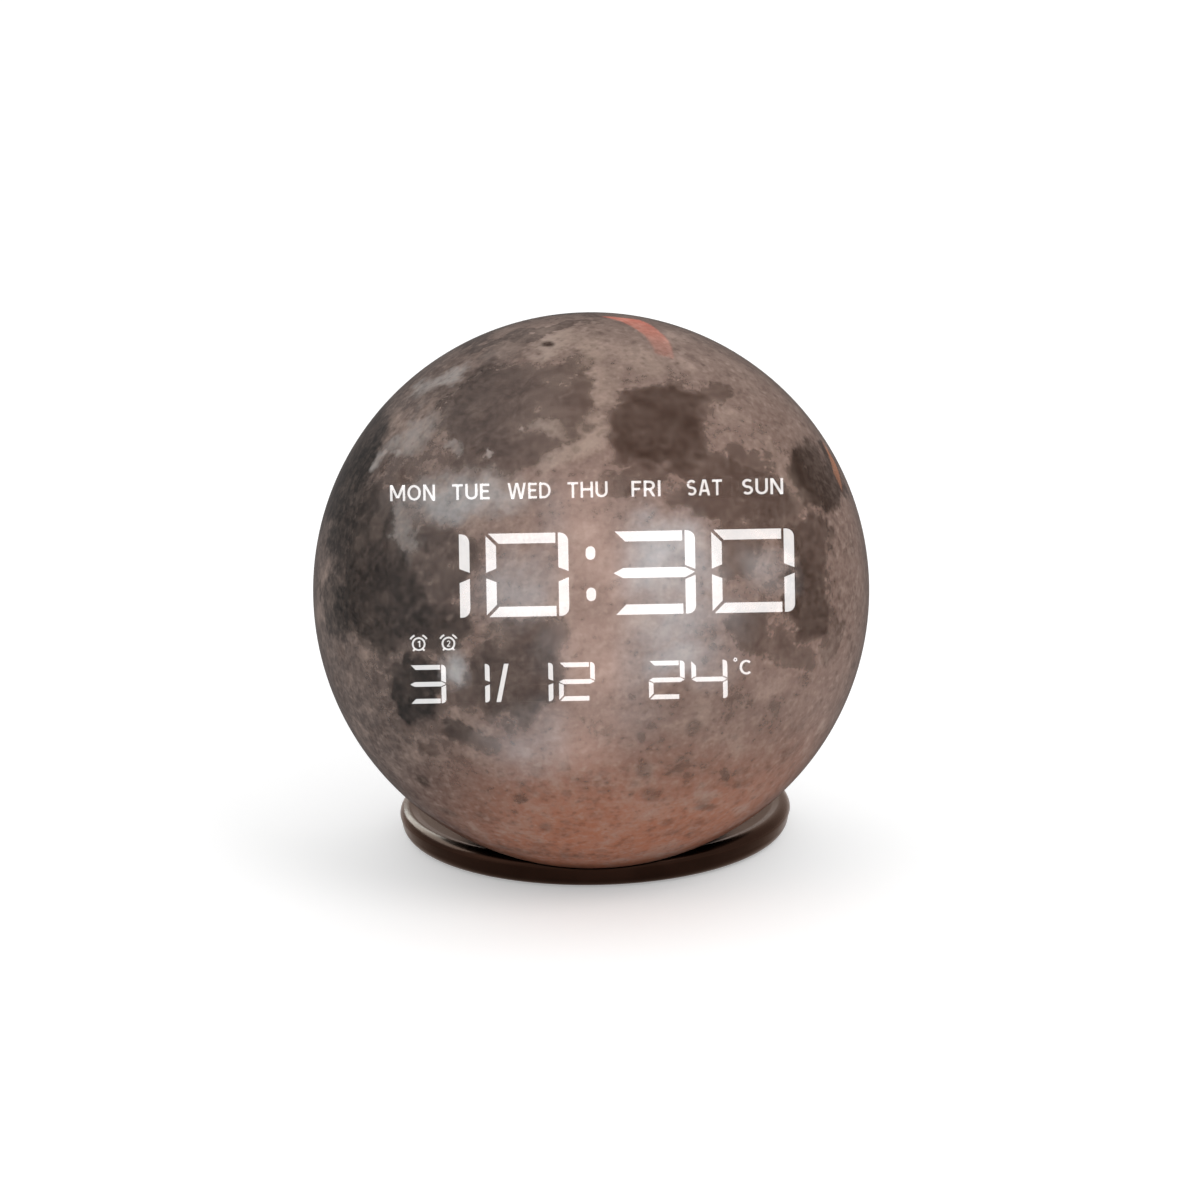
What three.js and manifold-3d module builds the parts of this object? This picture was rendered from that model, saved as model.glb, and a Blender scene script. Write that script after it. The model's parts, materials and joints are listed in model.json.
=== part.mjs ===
// Speaker clock: a ball with a printed moon dome in front of a lit display, a speaker, push buttons
// and a charging inlet on its flat back, held in the cradle of a low round base.
// Millimetres, +Z up, front towards -Y. The origin is the middle of the base's underside.

import * as THREE from 'three';
import { mergeVertices } from 'three/addons/utils/BufferGeometryUtils.js';
import Module from 'manifold-3d';

const wasm = await Module();
wasm.setup();

// Fits
const GAP = 0.3; // between pieces that rest on each other or fit into each other
const BOARD_CLEARANCE = 0.7; // round the speaker where it passes the main board
const DOME_CLEARANCE = 0.8; // between the display stack and the inside of the dome
const THROUGH = 5; // how far a cutting tool runs past the face that it leaves
const WELD = 1e-4; // corners nearer than this are one

// Ball
const BALL_RADIUS = 60;
const SHELL_WALL = 2.4;
const BALL_TILT = 14; // degrees that the display looks upwards
const BALL_LIFT = 1.5; // lowest point of the full sphere above the table
const BALL_OVERHANG = 23.2; // ball centre ahead of the base's axis
const BACK_EDGE_RADIUS = 40.8; // where the plane of the flat back meets the sphere
const BACK_FILLET = 2.5;
const PANEL_THICKNESS = 2.4;
const LEDGE_WIDTH = 7.3; // inward ledge of the rear shell that carries the panel
const LEDGE_THICKNESS = 2;
const LEDGE_SCREW_REACH = 3.1; // screw circle outside the ledge's inner edge
const SHELL_FLOOR = 2.4; // flat bottom of the rear shell

// Snap joint between dome and rear shell
const SPIGOT_LENGTH = 4;
const SPIGOT_WALL = 2.1;
const SPIGOT_ROOT = 3;
const SNAP_HEIGHT = 0.45;
const SNAP_WIDTH = 1.4;

// Base
const BASE_RADIUS = 44.3;
const BASE_FOOT_RADIUS = 43.9;
const BASE_HEIGHT = 6.9;
const BASE_EDGE = 2; // rounding of the rim
const BASE_FOOT_EDGE = 3; // rounding of the lower edge
const BASE_RIM = 2.1; // slope from the rim down to the dished top
const BASE_DISH = 0.7;
const BASE_FLOOR = 1.7;
const BASE_SKIRT = 1.3; // wall round the pad
const PAD_THICKNESS = 1.2;
const PAD_PROUD = 0.5; // how far the pad stands out below the base
const BASE_SCREW_CIRCLE = 10;
const BASE_SCREW_SHIFT = 1.5; // their circle lies behind the ball's centre
const BASE_BOSS_RADIUS = 3.2;
const BASE_BOSS_HEIGHT = 8.5;

// Display stack, from the front backwards
const MASK_FRONT = 27; // ahead of the ball's centre
const MASK_THICKNESS = 1.2;
const DIFFUSER_THICKNESS = 0.6;
const REFLECTOR_THICKNESS = 5;
const REFLECTOR_MARGIN = 3; // how far the reflector stays inside the mask's edge
const DISPLAY_BOARD_THICKNESS = 1.6;
const CARRIER_THICKNESS = 2;
const CARRIER_BOSS_RADIUS = 3;
const CARRIER_BOSS_LENGTH = 12;
const CARRIER_SCREW_INSET = 2.8; // their circle lies inside the spigot's inner wall
const DISPLAY_SCREW_INSET = 2.6; // their circle lies inside the carrier's skirt
const WELL_MARGIN = 0.5; // light wells are wider than the windows by this on each side

// Lit signs, in the plane of the mask
const TIME_DIGIT = { width: 17.2, height: 17.4, stroke: 2.15, y: 3.5 };
const TIME_CENTRES = [-33.8, -13.2, 13.2, 33.8];
const COLON = { width: 2, height: 2.8, spacing: 8.6 };
const SMALL_DIGIT = { width: 7.5, height: 8, stroke: 0.98, y: -18.9 };
const DATE_CENTRES = [-34.3, -25.2, -12, -3.3];
const SLASH = { x: -18.8, width: 0.95, lean: 1.7 };
const TEMPERATURE_CENTRES = [15.4, 24.3];
const DEGREE_WINDOW = { x: 31.2, y: -16.5, width: 4, height: 4 };
const WEEKDAY_WINDOW = { width: 10.4, height: 4.4, pitch: 12.15, y: 21 };
const WEEKDAY_COUNT = 7;
const ALARM_WINDOW = { radius: 2.3, y: -10.4, centres: [-36.1, -29.9] };
const SEGMENT = { slit: 0.2, corner: 0.8, innerBreak: 0.65, outerBreak: 0.25, shoulder: 0.95 }; // in strokes

// Battery cell in its trough behind the display
const CELL_RADIUS = 9.1;
const CELL_LENGTH = 65;
const CELL_TERMINAL = 1.2;
const CELL_BUTTON = 3; // radius of the raised end
const CELL_DROP = 20; // below the ball's axis
const TROUGH_WALL = 1.8;
const TROUGH_LENGTH = 62;
const TROUGH_FOOT = 12;

// Speaker, on the back panel
const SPEAKER_DROP = 3; // below the ball's axis
const SPEAKER_OPENING = 15;
const GRILLE_RADIUS = 17;
const GRILLE_THICKNESS = 0.8;
const GRILLE_RECESS = 1.2;
const GRILLE_CROWN = 0.8; // the perforated middle stands above the rim by this
const GRILLE_SLOPE = 2.6; // width of the sloped rim
const GRILLE_PITCH = 4;
const GRILLE_HOLE = 1.25;
const GRILLE_RINGS = 3;
const GRILLE_FOLD = 6; // holes of the first ring, and more in each further ring
const GASKET_THICKNESS = 0.8;
const FLANGE_RADIUS = 18;
const FLANGE_THICKNESS = 1;
const BASKET_RADIUS = 15.9;
const BASKET_WALL = 1;
const BASKET_DEPTH = 6;
const BASKET_WINDOW = 8;
const BASKET_WINDOWS = 4;
const EAR_CIRCLE = 19.7;
const EAR_RADIUS = 2.6;
const SURROUND_THICKNESS = 0.35;
const SURROUND_ROLL = 1.6;
const SURROUND_LIP = 1.4; // inner lip that is glued to the cone
const CONE_RADIUS = 11.7;
const CONE_SHEET = 0.5;
const CONE_DEPTH = 4;
const COIL_RADIUS = 5.7; // inside of the former
const COIL_SHEET = 0.4;
const COIL_WINDING = 0.4;
const COIL_LENGTH = 5.7;
const DUST_CAP_RISE = 2;
const SPIDER_SHEET = 0.3;
const SPIDER_WAVE = 0.35;
const SPIDER_WAVES = 3;
const POLE_CLEARANCE = 0.5;
const TOP_PLATE_RADIUS = 13;
const TOP_PLATE_THICKNESS = 2;
const MAGNET_RADIUS = 14.5;
const MAGNET_HOLE = 8.5;
const MAGNET_THICKNESS = 4.7;
const YOKE_THICKNESS = 2;

// Buttons, switches and boards on the back panel
const BUTTON_NAMES = ['mode', 'minus', 'play', 'plus', 'alarm'];
const BUTTON_CIRCLE = 26;
const BUTTON_STEP = 25; // degrees between neighbours
const BUTTON_RADIUS = 3.7;
const BUTTON_PROUD = 1;
const BUTTON_EDGE = 0.6;
const BUTTON_DISH = 0.2;
const BUTTON_FLANGE = 1.1; // how far the flange reaches past the cap
const BUTTON_FLANGE_THICKNESS = 1;
const BUTTON_STEM = 1.6;
const BUTTON_TRAVEL = 0.6;
const SWITCH_SIDE = 6;
const SWITCH_HEIGHT = 2.5;
const PLUNGER_RADIUS = 1.7;
const PLUNGER_HEIGHT = 0.8;
const STANDOFF_LENGTH = 6.7;
const STANDOFF_RADIUS = 2.6;
const STANDOFF_CIRCLE = 28.5;
const STANDOFF_ANGLES = [5, 175, 308];
const BOARD_THICKNESS = 1.6;
const BOARD_INSET = 2; // inside the rear shell's ledge
const USB = { width: 8.94, height: 3.26, wall: 0.3, drop: 27, depth: 7.2, tongue: 6.7, tongueThickness: 0.7 };
const USB_TONGUE_SETBACK = 1.1;
const VENT = { x: -11.5, width: 5, height: 1.2, pitch: 2.2, drop: 26.7 };
const VENT_COUNT = 3;
const BEAD_RADIUS = 1.3;
const BEAD_LEG = 0.35;
const RADIO = { x: 22, y: -9, width: 9, height: 12, thickness: 2.2 };

// Leads
const RIBBON = { width: 12, thickness: 0.4, y: 22, slack: 3, straight: 6 };
const RIBBON_SLOT = 1.2; // clearance of the ribbon in the carrier's slot
const BATTERY_LEAD = { radius: 0.8, bend: 3.2, straight: 6.4, x: 24, y: -8 };
const SPEAKER_LEAD = { radius: 0.6, reach: 6 }; // reach from the basket to where it meets the board

// Screws: head radius, head height, shank radius, length under the head's seat or flat top
const BASE_SCREW = { head: 2.6, rise: 1.3, shank: 1.25, length: 8.4 };
const PANEL_SCREW = { head: 2.2, rise: 1.2, shank: 1.1, length: 7 };
const CARRIER_SCREW = { head: 2.2, rise: 1.4, shank: 1.1, length: 8 };
const DISPLAY_SCREW = { head: 2, rise: 1.3, shank: 1, length: 7 };
const SPEAKER_SCREW = { head: 1.9, rise: 1.2, shank: 0.9, length: 4.3 };
const BOARD_SCREW = { head: 2.1, rise: 1.3, shank: 1, length: 7 };
const SCREW_EDGE = 0.3; // straight rim of a countersunk head
const SCREW_CHAMFER = 0.5; // of a pan head

// Sides of round pieces, and steps along the arcs of outlines
const SIDES = { ball: 32, base: 32, disc: 32, grille: 24, speaker: 14, cell: 14, button: 10, boss: 8,
  window: 8, screw: 6, hole: 6, lead: 6 };
const STEPS = { dome: 9, inside: 7, shell: 5, socket: 3, edge: 2, fillet: 3, corner: 2, trough: 8,
  roll: 3, cap: 3, bead: 4, ribbon: 10, lead: 9 };

// Derived places. In the ball's frame z runs forwards from its centre, in the back's frame backwards.
const ballHeight = BALL_RADIUS + BALL_LIFT;
const innerRadius = BALL_RADIUS - SHELL_WALL;
const backFace = Math.sqrt(BALL_RADIUS ** 2 - BACK_EDGE_RADIUS ** 2);
const panelInner = backFace - PANEL_THICKNESS;
const panelSeat = panelInner - GAP;
const ledgeRadius = BACK_EDGE_RADIUS - LEDGE_WIDTH;
const ledgeScrewCircle = ledgeRadius + LEDGE_SCREW_REACH;
const spigotRadius = Math.sqrt(innerRadius ** 2 - SPIGOT_LENGTH ** 2) - GAP;
const spigotInner = spigotRadius - SPIGOT_WALL;
const carrierScrewCircle = spigotInner - CARRIER_SCREW_INSET;

const floorBottom = PAD_THICKNESS + GAP;
const floorTop = floorBottom + BASE_FLOOR;
const ballFlat = floorTop + GAP;
const padRadius = BASE_FOOT_RADIUS - BASE_FOOT_EDGE - BASE_SKIRT - GAP;

const maskBack = MASK_FRONT - MASK_THICKNESS;
const maskRadius = Math.sqrt((innerRadius - DOME_CLEARANCE) ** 2 - MASK_FRONT ** 2);
const diffuserFront = maskBack - GAP;
const diffuserBack = diffuserFront - DIFFUSER_THICKNESS;
const reflectorFront = diffuserBack - GAP;
const reflectorBack = reflectorFront - REFLECTOR_THICKNESS;
const reflectorRadius = maskRadius - REFLECTOR_MARGIN;
const displayBoardFront = reflectorBack - GAP;
const displayBoardBack = displayBoardFront - DISPLAY_BOARD_THICKNESS;
const carrierFront = displayBoardBack - GAP;
const carrierBack = carrierFront - CARRIER_THICKNESS;
const carrierSeat = SPIGOT_LENGTH + GAP;
const skirtInner = reflectorRadius - CARRIER_THICKNESS;
const displayScrewCircle = skirtInner - DISPLAY_SCREW_INSET;
const displayScrewDrop = CELL_DROP + TROUGH_FOOT / 2 + DISPLAY_SCREW.head + GAP; // below the trough's foot
const displayScrewReach = Math.sqrt(displayScrewCircle ** 2 - displayScrewDrop ** 2);
const troughRadius = CELL_RADIUS + GAP + TROUGH_WALL;
const cellAxis = carrierBack - troughRadius;

const gasketFront = panelInner - GAP - GASKET_THICKNESS;
const lipBottom = gasketFront - GAP - SURROUND_THICKNESS;
const flangeTop = lipBottom - GAP;
const flangeBottom = flangeTop - FLANGE_THICKNESS;
const basketBottom = flangeTop - BASKET_DEPTH;
const basketFloor = basketBottom + BASKET_WALL;
const basketInner = BASKET_RADIUS - BASKET_WALL;
const sealRadius = EAR_CIRCLE - EAR_RADIUS - GAP; // gasket and surround end inside the ear bosses
const coneTop = lipBottom - GAP;
const coilOuter = COIL_RADIUS + COIL_SHEET;
const windingRadius = coilOuter + COIL_WINDING;
const coneNeck = coilOuter + GAP;
const coneBottom = coneTop - CONE_DEPTH;
const coilTop = coneBottom + GAP;
const coilBottom = coilTop - COIL_LENGTH;
const topPlateTop = basketBottom - GAP;
const topPlateBottom = topPlateTop - TOP_PLATE_THICKNESS;
const magnetTop = topPlateBottom - GAP;
const magnetBottom = magnetTop - MAGNET_THICKNESS;
const yokeTop = magnetBottom - GAP;
const yokeBottom = yokeTop - YOKE_THICKNESS;
const poleRadius = COIL_RADIUS - POLE_CLEARANCE;

const boardTop = panelInner - STANDOFF_LENGTH - GAP;
const boardBottom = boardTop - BOARD_THICKNESS;
const boardRadius = ledgeRadius - BOARD_INSET;
const boardHole = BASKET_RADIUS + BOARD_CLEARANCE;
const partBottom = boardTop + GAP; // where pieces on the main board start
const plungerTop = partBottom + SWITCH_HEIGHT + PLUNGER_HEIGHT;

// Solids and outlines

function radians(degrees) {
  return THREE.MathUtils.degToRad(degrees);
}

function onCircle(radius, degrees) {
  return [radius * Math.cos(radians(degrees)), radius * Math.sin(radians(degrees))];
}

// Points of an arc about a centre, both ends included.
function arc(centreX, centreY, radius, fromDegrees, toDegrees, steps) {
  const points = [];
  for (let step = 0; step <= steps; step += 1) {
    const degrees = fromDegrees + (toDegrees - fromDegrees) * step / steps;
    const [x, y] = onCircle(radius, degrees);
    points.push([centreX + x, centreY + y]);
  }
  return points;
}

// The half outline of a sphere about the origin, between two heights.
function sphereArc(radius, fromHeight, toHeight, steps) {
  const fromDegrees = THREE.MathUtils.radToDeg(Math.asin(fromHeight / radius));
  const toDegrees = THREE.MathUtils.radToDeg(Math.asin(toHeight / radius));
  return arc(0, 0, radius, fromDegrees, toDegrees, steps);
}

// Turns an outline of [radius, height] points about the Z axis.
function revolve(outline, sides) {
  const points = outline.map(([radius, height]) => new THREE.Vector2(radius, height));
  return new THREE.LatheGeometry(points, sides).rotateX(Math.PI / 2);
}

// As revolve, for an outline that keeps clear of the axis.
function revolveRing(outline, sides) {
  return revolve([...outline, outline[0]], sides);
}

function disc(radius, bottom, top, sides) {
  return revolve([[0, bottom], [radius, bottom], [radius, top], [0, top]], sides);
}

function ring(inner, outer, bottom, top, sides) {
  return revolveRing([[inner, bottom], [outer, bottom], [outer, top], [inner, top]], sides);
}

function box(width, height, bottom, top) {
  return new THREE.BoxGeometry(width, height, top - bottom).translate(0, 0, (bottom + top) / 2);
}

function outlinePath(points) {
  return points.map(([x, y]) => new THREE.Vector2(x, y));
}

function prism(shape, bottom, top) {
  const settings = { depth: top - bottom, bevelEnabled: false };
  return new THREE.ExtrudeGeometry(shape, settings).translate(0, 0, bottom);
}

function stadium(width, height) {
  const reach = (width - height) / 2;
  const rightEnd = arc(reach, 0, height / 2, -90, 90, SIDES.hole);
  const leftEnd = arc(-reach, 0, height / 2, 90, 270, SIDES.hole);
  return new THREE.Shape(outlinePath([...rightEnd, ...leftEnd]));
}

function rectanglePoints(x, y, width, height) {
  const [halfWidth, halfHeight] = [width / 2, height / 2];
  return [
    [x - halfWidth, y - halfHeight],
    [x + halfWidth, y - halfHeight],
    [x + halfWidth, y + halfHeight],
    [x - halfWidth, y + halfHeight],
  ];
}

// A tube of round section along a smooth curve through the points.
function tube(points, radius) {
  const path = new THREE.CatmullRomCurve3(points.map((point) => new THREE.Vector3(...point)));
  const section = new THREE.Shape(outlinePath(arc(0, 0, radius, 0, 360, SIDES.lead).slice(0, -1)));
  return new THREE.ExtrudeGeometry(section, { steps: STEPS.lead, bevelEnabled: false, extrudePath: path });
}

function signedVolume(corners, positions) {
  const [a, b, c] = [new THREE.Vector3(), new THREE.Vector3(), new THREE.Vector3()];
  let sum = 0;
  for (let i = 0; i < corners.length; i += 3) {
    a.fromArray(positions, 3 * corners[i]);
    b.fromArray(positions, 3 * corners[i + 1]);
    c.fromArray(positions, 3 * corners[i + 2]);
    sum += a.dot(b.cross(c));
  }
  return sum / 6;
}

// A closed geometry as a solid that can be joined and cut, with its faces turned outwards.
function solid(geometry) {
  geometry.deleteAttribute('normal');
  geometry.deleteAttribute('uv');
  const welded = mergeVertices(geometry, WELD);
  const positions = welded.attributes.position.array;
  const all = welded.index.array;
  const corners = [];
  for (let i = 0; i < all.length; i += 3) {
    const [a, b, c] = [all[i], all[i + 1], all[i + 2]];
    if (a !== b && b !== c && c !== a) {
      corners.push(a, b, c);
    }
  }
  if (signedVolume(corners, positions) < 0) {
    corners.reverse();
  }
  const mesh = new wasm.Mesh({
    numProp: 3,
    vertProperties: new Float32Array(positions),
    triVerts: new Uint32Array(corners),
  });
  return new wasm.Manifold(mesh);
}

function join(first, ...others) {
  return others.reduce((whole, other) => whole.add(solid(other)), first);
}

function cut(first, ...others) {
  return others.reduce((whole, other) => whole.subtract(solid(other)), first);
}

// A solid as a geometry again.
function geometryOf(shape) {
  const { vertProperties, triVerts } = shape.getMesh();
  const geometry = new THREE.BufferGeometry();
  geometry.setAttribute('position', new THREE.BufferAttribute(new Float32Array(vertProperties), 3));
  geometry.setIndex(new THREE.BufferAttribute(new Uint32Array(triVerts), 1));
  return geometry;
}

function piece(name, shape, look) {
  const geometry = geometryOf(shape);
  geometry.computeVertexNormals();
  const mesh = new THREE.Mesh(geometry, look);
  mesh.name = name;
  return mesh;
}

// Looks

function look(color, roughness, metalness = 0) {
  return new THREE.MeshStandardMaterial({ color, roughness, metalness });
}

const looks = {
  print: look(0x85756d, 0.2),
  casing: look(0x1d1817, 0.45),
  button: look(0x2a2423, 0.5),
  rubber: look(0x151312, 0.9),
  mask: look(0x0b0b0c, 0.7),
  film: look(0x2b2b2c, 0.6),
  reflector: look(0xe8e8e4, 0.5),
  board: look(0x14402a, 0.5),
  carrier: look(0x1e1c1b, 0.6),
  steel: look(0xa9abad, 0.35, 1),
  darkSteel: look(0x2b2b2d, 0.45, 1),
  ferrite: look(0x3a3a3c, 0.6),
  paper: look(0x1a1a1b, 0.85),
  copper: look(0xb46a36, 0.4, 1),
  spider: look(0xb98a3c, 0.8),
  cell: look(0x2f5f8f, 0.4),
  lead: look(0x8f1f1a, 0.6),
  ribbon: look(0xd8c9a8, 0.5),
};

// Frames: the ball is turned up on the base, and its back faces the other way.

const clock = new THREE.Group();
const ball = new THREE.Group();
ball.position.set(0, -BALL_OVERHANG, ballHeight);
ball.rotation.x = Math.PI / 2 - radians(BALL_TILT);
const back = new THREE.Group();
back.rotation.y = Math.PI;
ball.add(back);
clock.add(ball);
clock.updateMatrixWorld(true);

// Brings a geometry from the base's frame into a group's own frame.
function intoFrame(geometry, group) {
  return geometry.applyMatrix4(group.matrixWorld.clone().invert());
}

// Everything below a height over the table, wide enough for the whole ball.
function belowHeight(height) {
  const side = 4 * BALL_RADIUS;
  return box(side, side, height - side, height).translate(0, -BALL_OVERHANG, 0);
}

// Screws

// Head seat at z = 0, head above it and shank below.
function panScrew({ head, rise, shank, length }) {
  return revolve([[0, -length], [shank, -length], [shank, 0], [head, 0],
    [head, rise - SCREW_CHAMFER], [head - SCREW_CHAMFER, rise], [0, rise]], SIDES.screw);
}

// Flat top of the head at z = 0, shank below.
function countersunkScrew({ head, rise, shank, length }) {
  return revolve([[0, -length], [shank, -length], [shank, -rise],
    [head, -SCREW_EDGE], [head, 0], [0, 0]], SIDES.screw);
}

// The hole that a countersunk screw leaves, with its clearance.
function countersink({ head, rise, shank, length }) {
  return revolve([[0, -length - GAP], [shank + GAP, -length - GAP], [shank + GAP, -rise - GAP],
    [head + GAP, -SCREW_EDGE - GAP], [head + GAP, THROUGH], [0, THROUGH]], SIDES.screw);
}

function shankHole({ shank }, bottom, top) {
  return disc(shank + GAP, bottom, top, SIDES.screw);
}

function addScrews(group, name, places, geometryAt, material) {
  places.forEach((place, index) => {
    group.add(piece(`${name}_${index + 1}`, solid(geometryAt(place)), material));
  });
}

const threeWay = [90, 210, 330];
const fourWay = [45, 135, 225, 315];
const displayScrewPlaces = [[0, displayScrewCircle], [-displayScrewReach, -displayScrewDrop],
  [displayScrewReach, -displayScrewDrop]];
const carrierScrewPlaces = threeWay.map((angle) => onCircle(carrierScrewCircle, angle));
const panelScrewPlaces = fourWay.map((angle) => onCircle(ledgeScrewCircle, angle));
const standoffPlaces = STANDOFF_ANGLES.map((angle) => onCircle(STANDOFF_CIRCLE, angle));
const earPlaces = fourWay.map((angle) => {
  const [x, y] = onCircle(EAR_CIRCLE, angle);
  return [x, y - SPEAKER_DROP];
});
const baseScrewPlaces = threeWay.map((angle) => {
  const [x, y] = onCircle(BASE_SCREW_CIRCLE, angle);
  return [x, y - BALL_OVERHANG + BASE_SCREW_SHIFT];
});
const buttonPlaces = BUTTON_NAMES.map((name, index) => {
  const middle = (BUTTON_NAMES.length - 1) / 2;
  return onCircle(BUTTON_CIRCLE, 90 + (middle - index) * BUTTON_STEP);
});

// Base

function baseShell() {
  const footArc = arc(BASE_FOOT_RADIUS - BASE_FOOT_EDGE, PAD_PROUD + BASE_FOOT_EDGE, BASE_FOOT_EDGE,
    -90, 0, STEPS.fillet);
  const rimArc = arc(BASE_RADIUS - BASE_EDGE, BASE_HEIGHT - BASE_EDGE, BASE_EDGE, 0, 90, STEPS.fillet);
  const dish = BASE_HEIGHT - BASE_DISH;
  const body = solid(revolve([
    [0, floorBottom],
    [padRadius + GAP, floorBottom],
    [padRadius + GAP, PAD_PROUD],
    ...footArc,
    ...rimArc,
    [BASE_RADIUS - BASE_EDGE - BASE_RIM, dish],
    [0, dish],
  ], SIDES.base));
  const socketBottom = floorTop - ballHeight;
  const socketTop = BASE_HEIGHT + THROUGH - ballHeight;
  const socket = revolve([
    [0, socketBottom],
    ...sphereArc(BALL_RADIUS + GAP, socketBottom, socketTop, STEPS.socket),
    [0, socketTop],
  ], SIDES.ball).translate(0, -BALL_OVERHANG, ballHeight);
  const holes = baseScrewPlaces.map(([x, y]) => (
    countersink(BASE_SCREW).rotateX(Math.PI).translate(x, y, floorBottom)
  ));
  return piece('base_shell', cut(body, socket, ...holes), looks.casing);
}

function basePad() {
  return piece('base_pad', solid(disc(padRadius, 0, PAD_THICKNESS, SIDES.base)), looks.rubber);
}

clock.add(baseShell(), basePad());
addScrews(clock, 'base_screw', baseScrewPlaces, ([x, y]) => (
  countersunkScrew(BASE_SCREW).rotateX(Math.PI).translate(x, y, floorBottom)
), looks.darkSteel);

// Ball casing

function moonDome() {
  const snapTop = SPIGOT_LENGTH / 2 + SNAP_WIDTH / 2 + GAP;
  const snapBottom = SPIGOT_LENGTH / 2 - SNAP_WIDTH / 2 - GAP;
  const groove = spigotRadius + SNAP_HEIGHT + GAP;
  const shell = solid(revolve([
    ...sphereArc(innerRadius, innerRadius, snapTop, STEPS.inside),
    [groove, SPIGOT_LENGTH / 2],
    [Math.sqrt(innerRadius ** 2 - snapBottom ** 2), snapBottom],
    [innerRadius, 0],
    ...sphereArc(BALL_RADIUS, 0, BALL_RADIUS, STEPS.dome),
  ], SIDES.ball));
  return piece('moon_dome', cut(shell, intoFrame(belowHeight(ballFlat), ball)), looks.print);
}

function rearShell() {
  const ledgeFront = panelSeat - LEDGE_THICKNESS;
  const snapTop = SPIGOT_LENGTH / 2 + SNAP_WIDTH / 2;
  const snapBottom = SPIGOT_LENGTH / 2 - SNAP_WIDTH / 2;
  const bead = spigotRadius + SNAP_HEIGHT;
  const outside = solid(revolve([
    [0, -SPIGOT_LENGTH],
    [spigotRadius, -SPIGOT_LENGTH],
    [spigotRadius, -snapTop],
    [bead, -SPIGOT_LENGTH / 2],
    [spigotRadius, -snapBottom],
    [spigotRadius, GAP],
    ...sphereArc(BALL_RADIUS, GAP, panelSeat, STEPS.shell),
    [0, panelSeat],
  ], SIDES.ball));
  const cavity = solid(revolve([
    [0, -SPIGOT_LENGTH - THROUGH],
    [spigotInner, -SPIGOT_LENGTH - THROUGH],
    [spigotInner, SPIGOT_ROOT],
    ...sphereArc(innerRadius, SPIGOT_ROOT, ledgeFront, STEPS.shell),
    [ledgeRadius, ledgeFront],
    [ledgeRadius, panelSeat + THROUGH],
    [0, panelSeat + THROUGH],
  ], SIDES.ball));
  const bottomHeight = ballFlat + SHELL_FLOOR;
  const wall = outside.subtract(cut(cavity, intoFrame(belowHeight(bottomHeight), back)));
  const baseBosses = baseScrewPlaces.map(([x, y]) => intoFrame(
    disc(BASE_BOSS_RADIUS, ballFlat, ballFlat + BASE_BOSS_HEIGHT, SIDES.boss).translate(x, y, 0),
    back,
  ));
  const baseHoles = baseScrewPlaces.map(([x, y]) => intoFrame(
    shankHole(BASE_SCREW, 0, floorBottom + BASE_SCREW.length + GAP).translate(x, y, 0),
    back,
  ));
  const carrierBosses = carrierScrewPlaces.map(([x, y]) => (
    disc(CARRIER_BOSS_RADIUS, -SPIGOT_LENGTH, CARRIER_BOSS_LENGTH - SPIGOT_LENGTH, SIDES.boss)
      .translate(-x, y, 0)
  ));
  const carrierHoles = carrierScrewPlaces.map(([x, y]) => (
    shankHole(CARRIER_SCREW, -SPIGOT_LENGTH - THROUGH, CARRIER_SCREW.length - SPIGOT_LENGTH)
      .translate(-x, y, 0)
  ));
  const screwEnd = backFace - PANEL_SCREW.length - GAP;
  const panelBosses = panelScrewPlaces.map(([x, y]) => (
    disc(PANEL_SCREW.head + GAP, screwEnd - LEDGE_THICKNESS, panelSeat, SIDES.boss).translate(x, y, 0)
  ));
  const panelHoles = panelScrewPlaces.map(([x, y]) => (
    shankHole(PANEL_SCREW, screwEnd, backFace).translate(x, y, 0)
  ));
  const whole = join(wall, ...baseBosses, ...carrierBosses, ...panelBosses);
  const drilled = cut(whole, ...baseHoles, ...carrierHoles, ...panelHoles);
  return piece('rear_shell', cut(drilled, intoFrame(belowHeight(ballFlat), back)), looks.casing);
}

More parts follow.
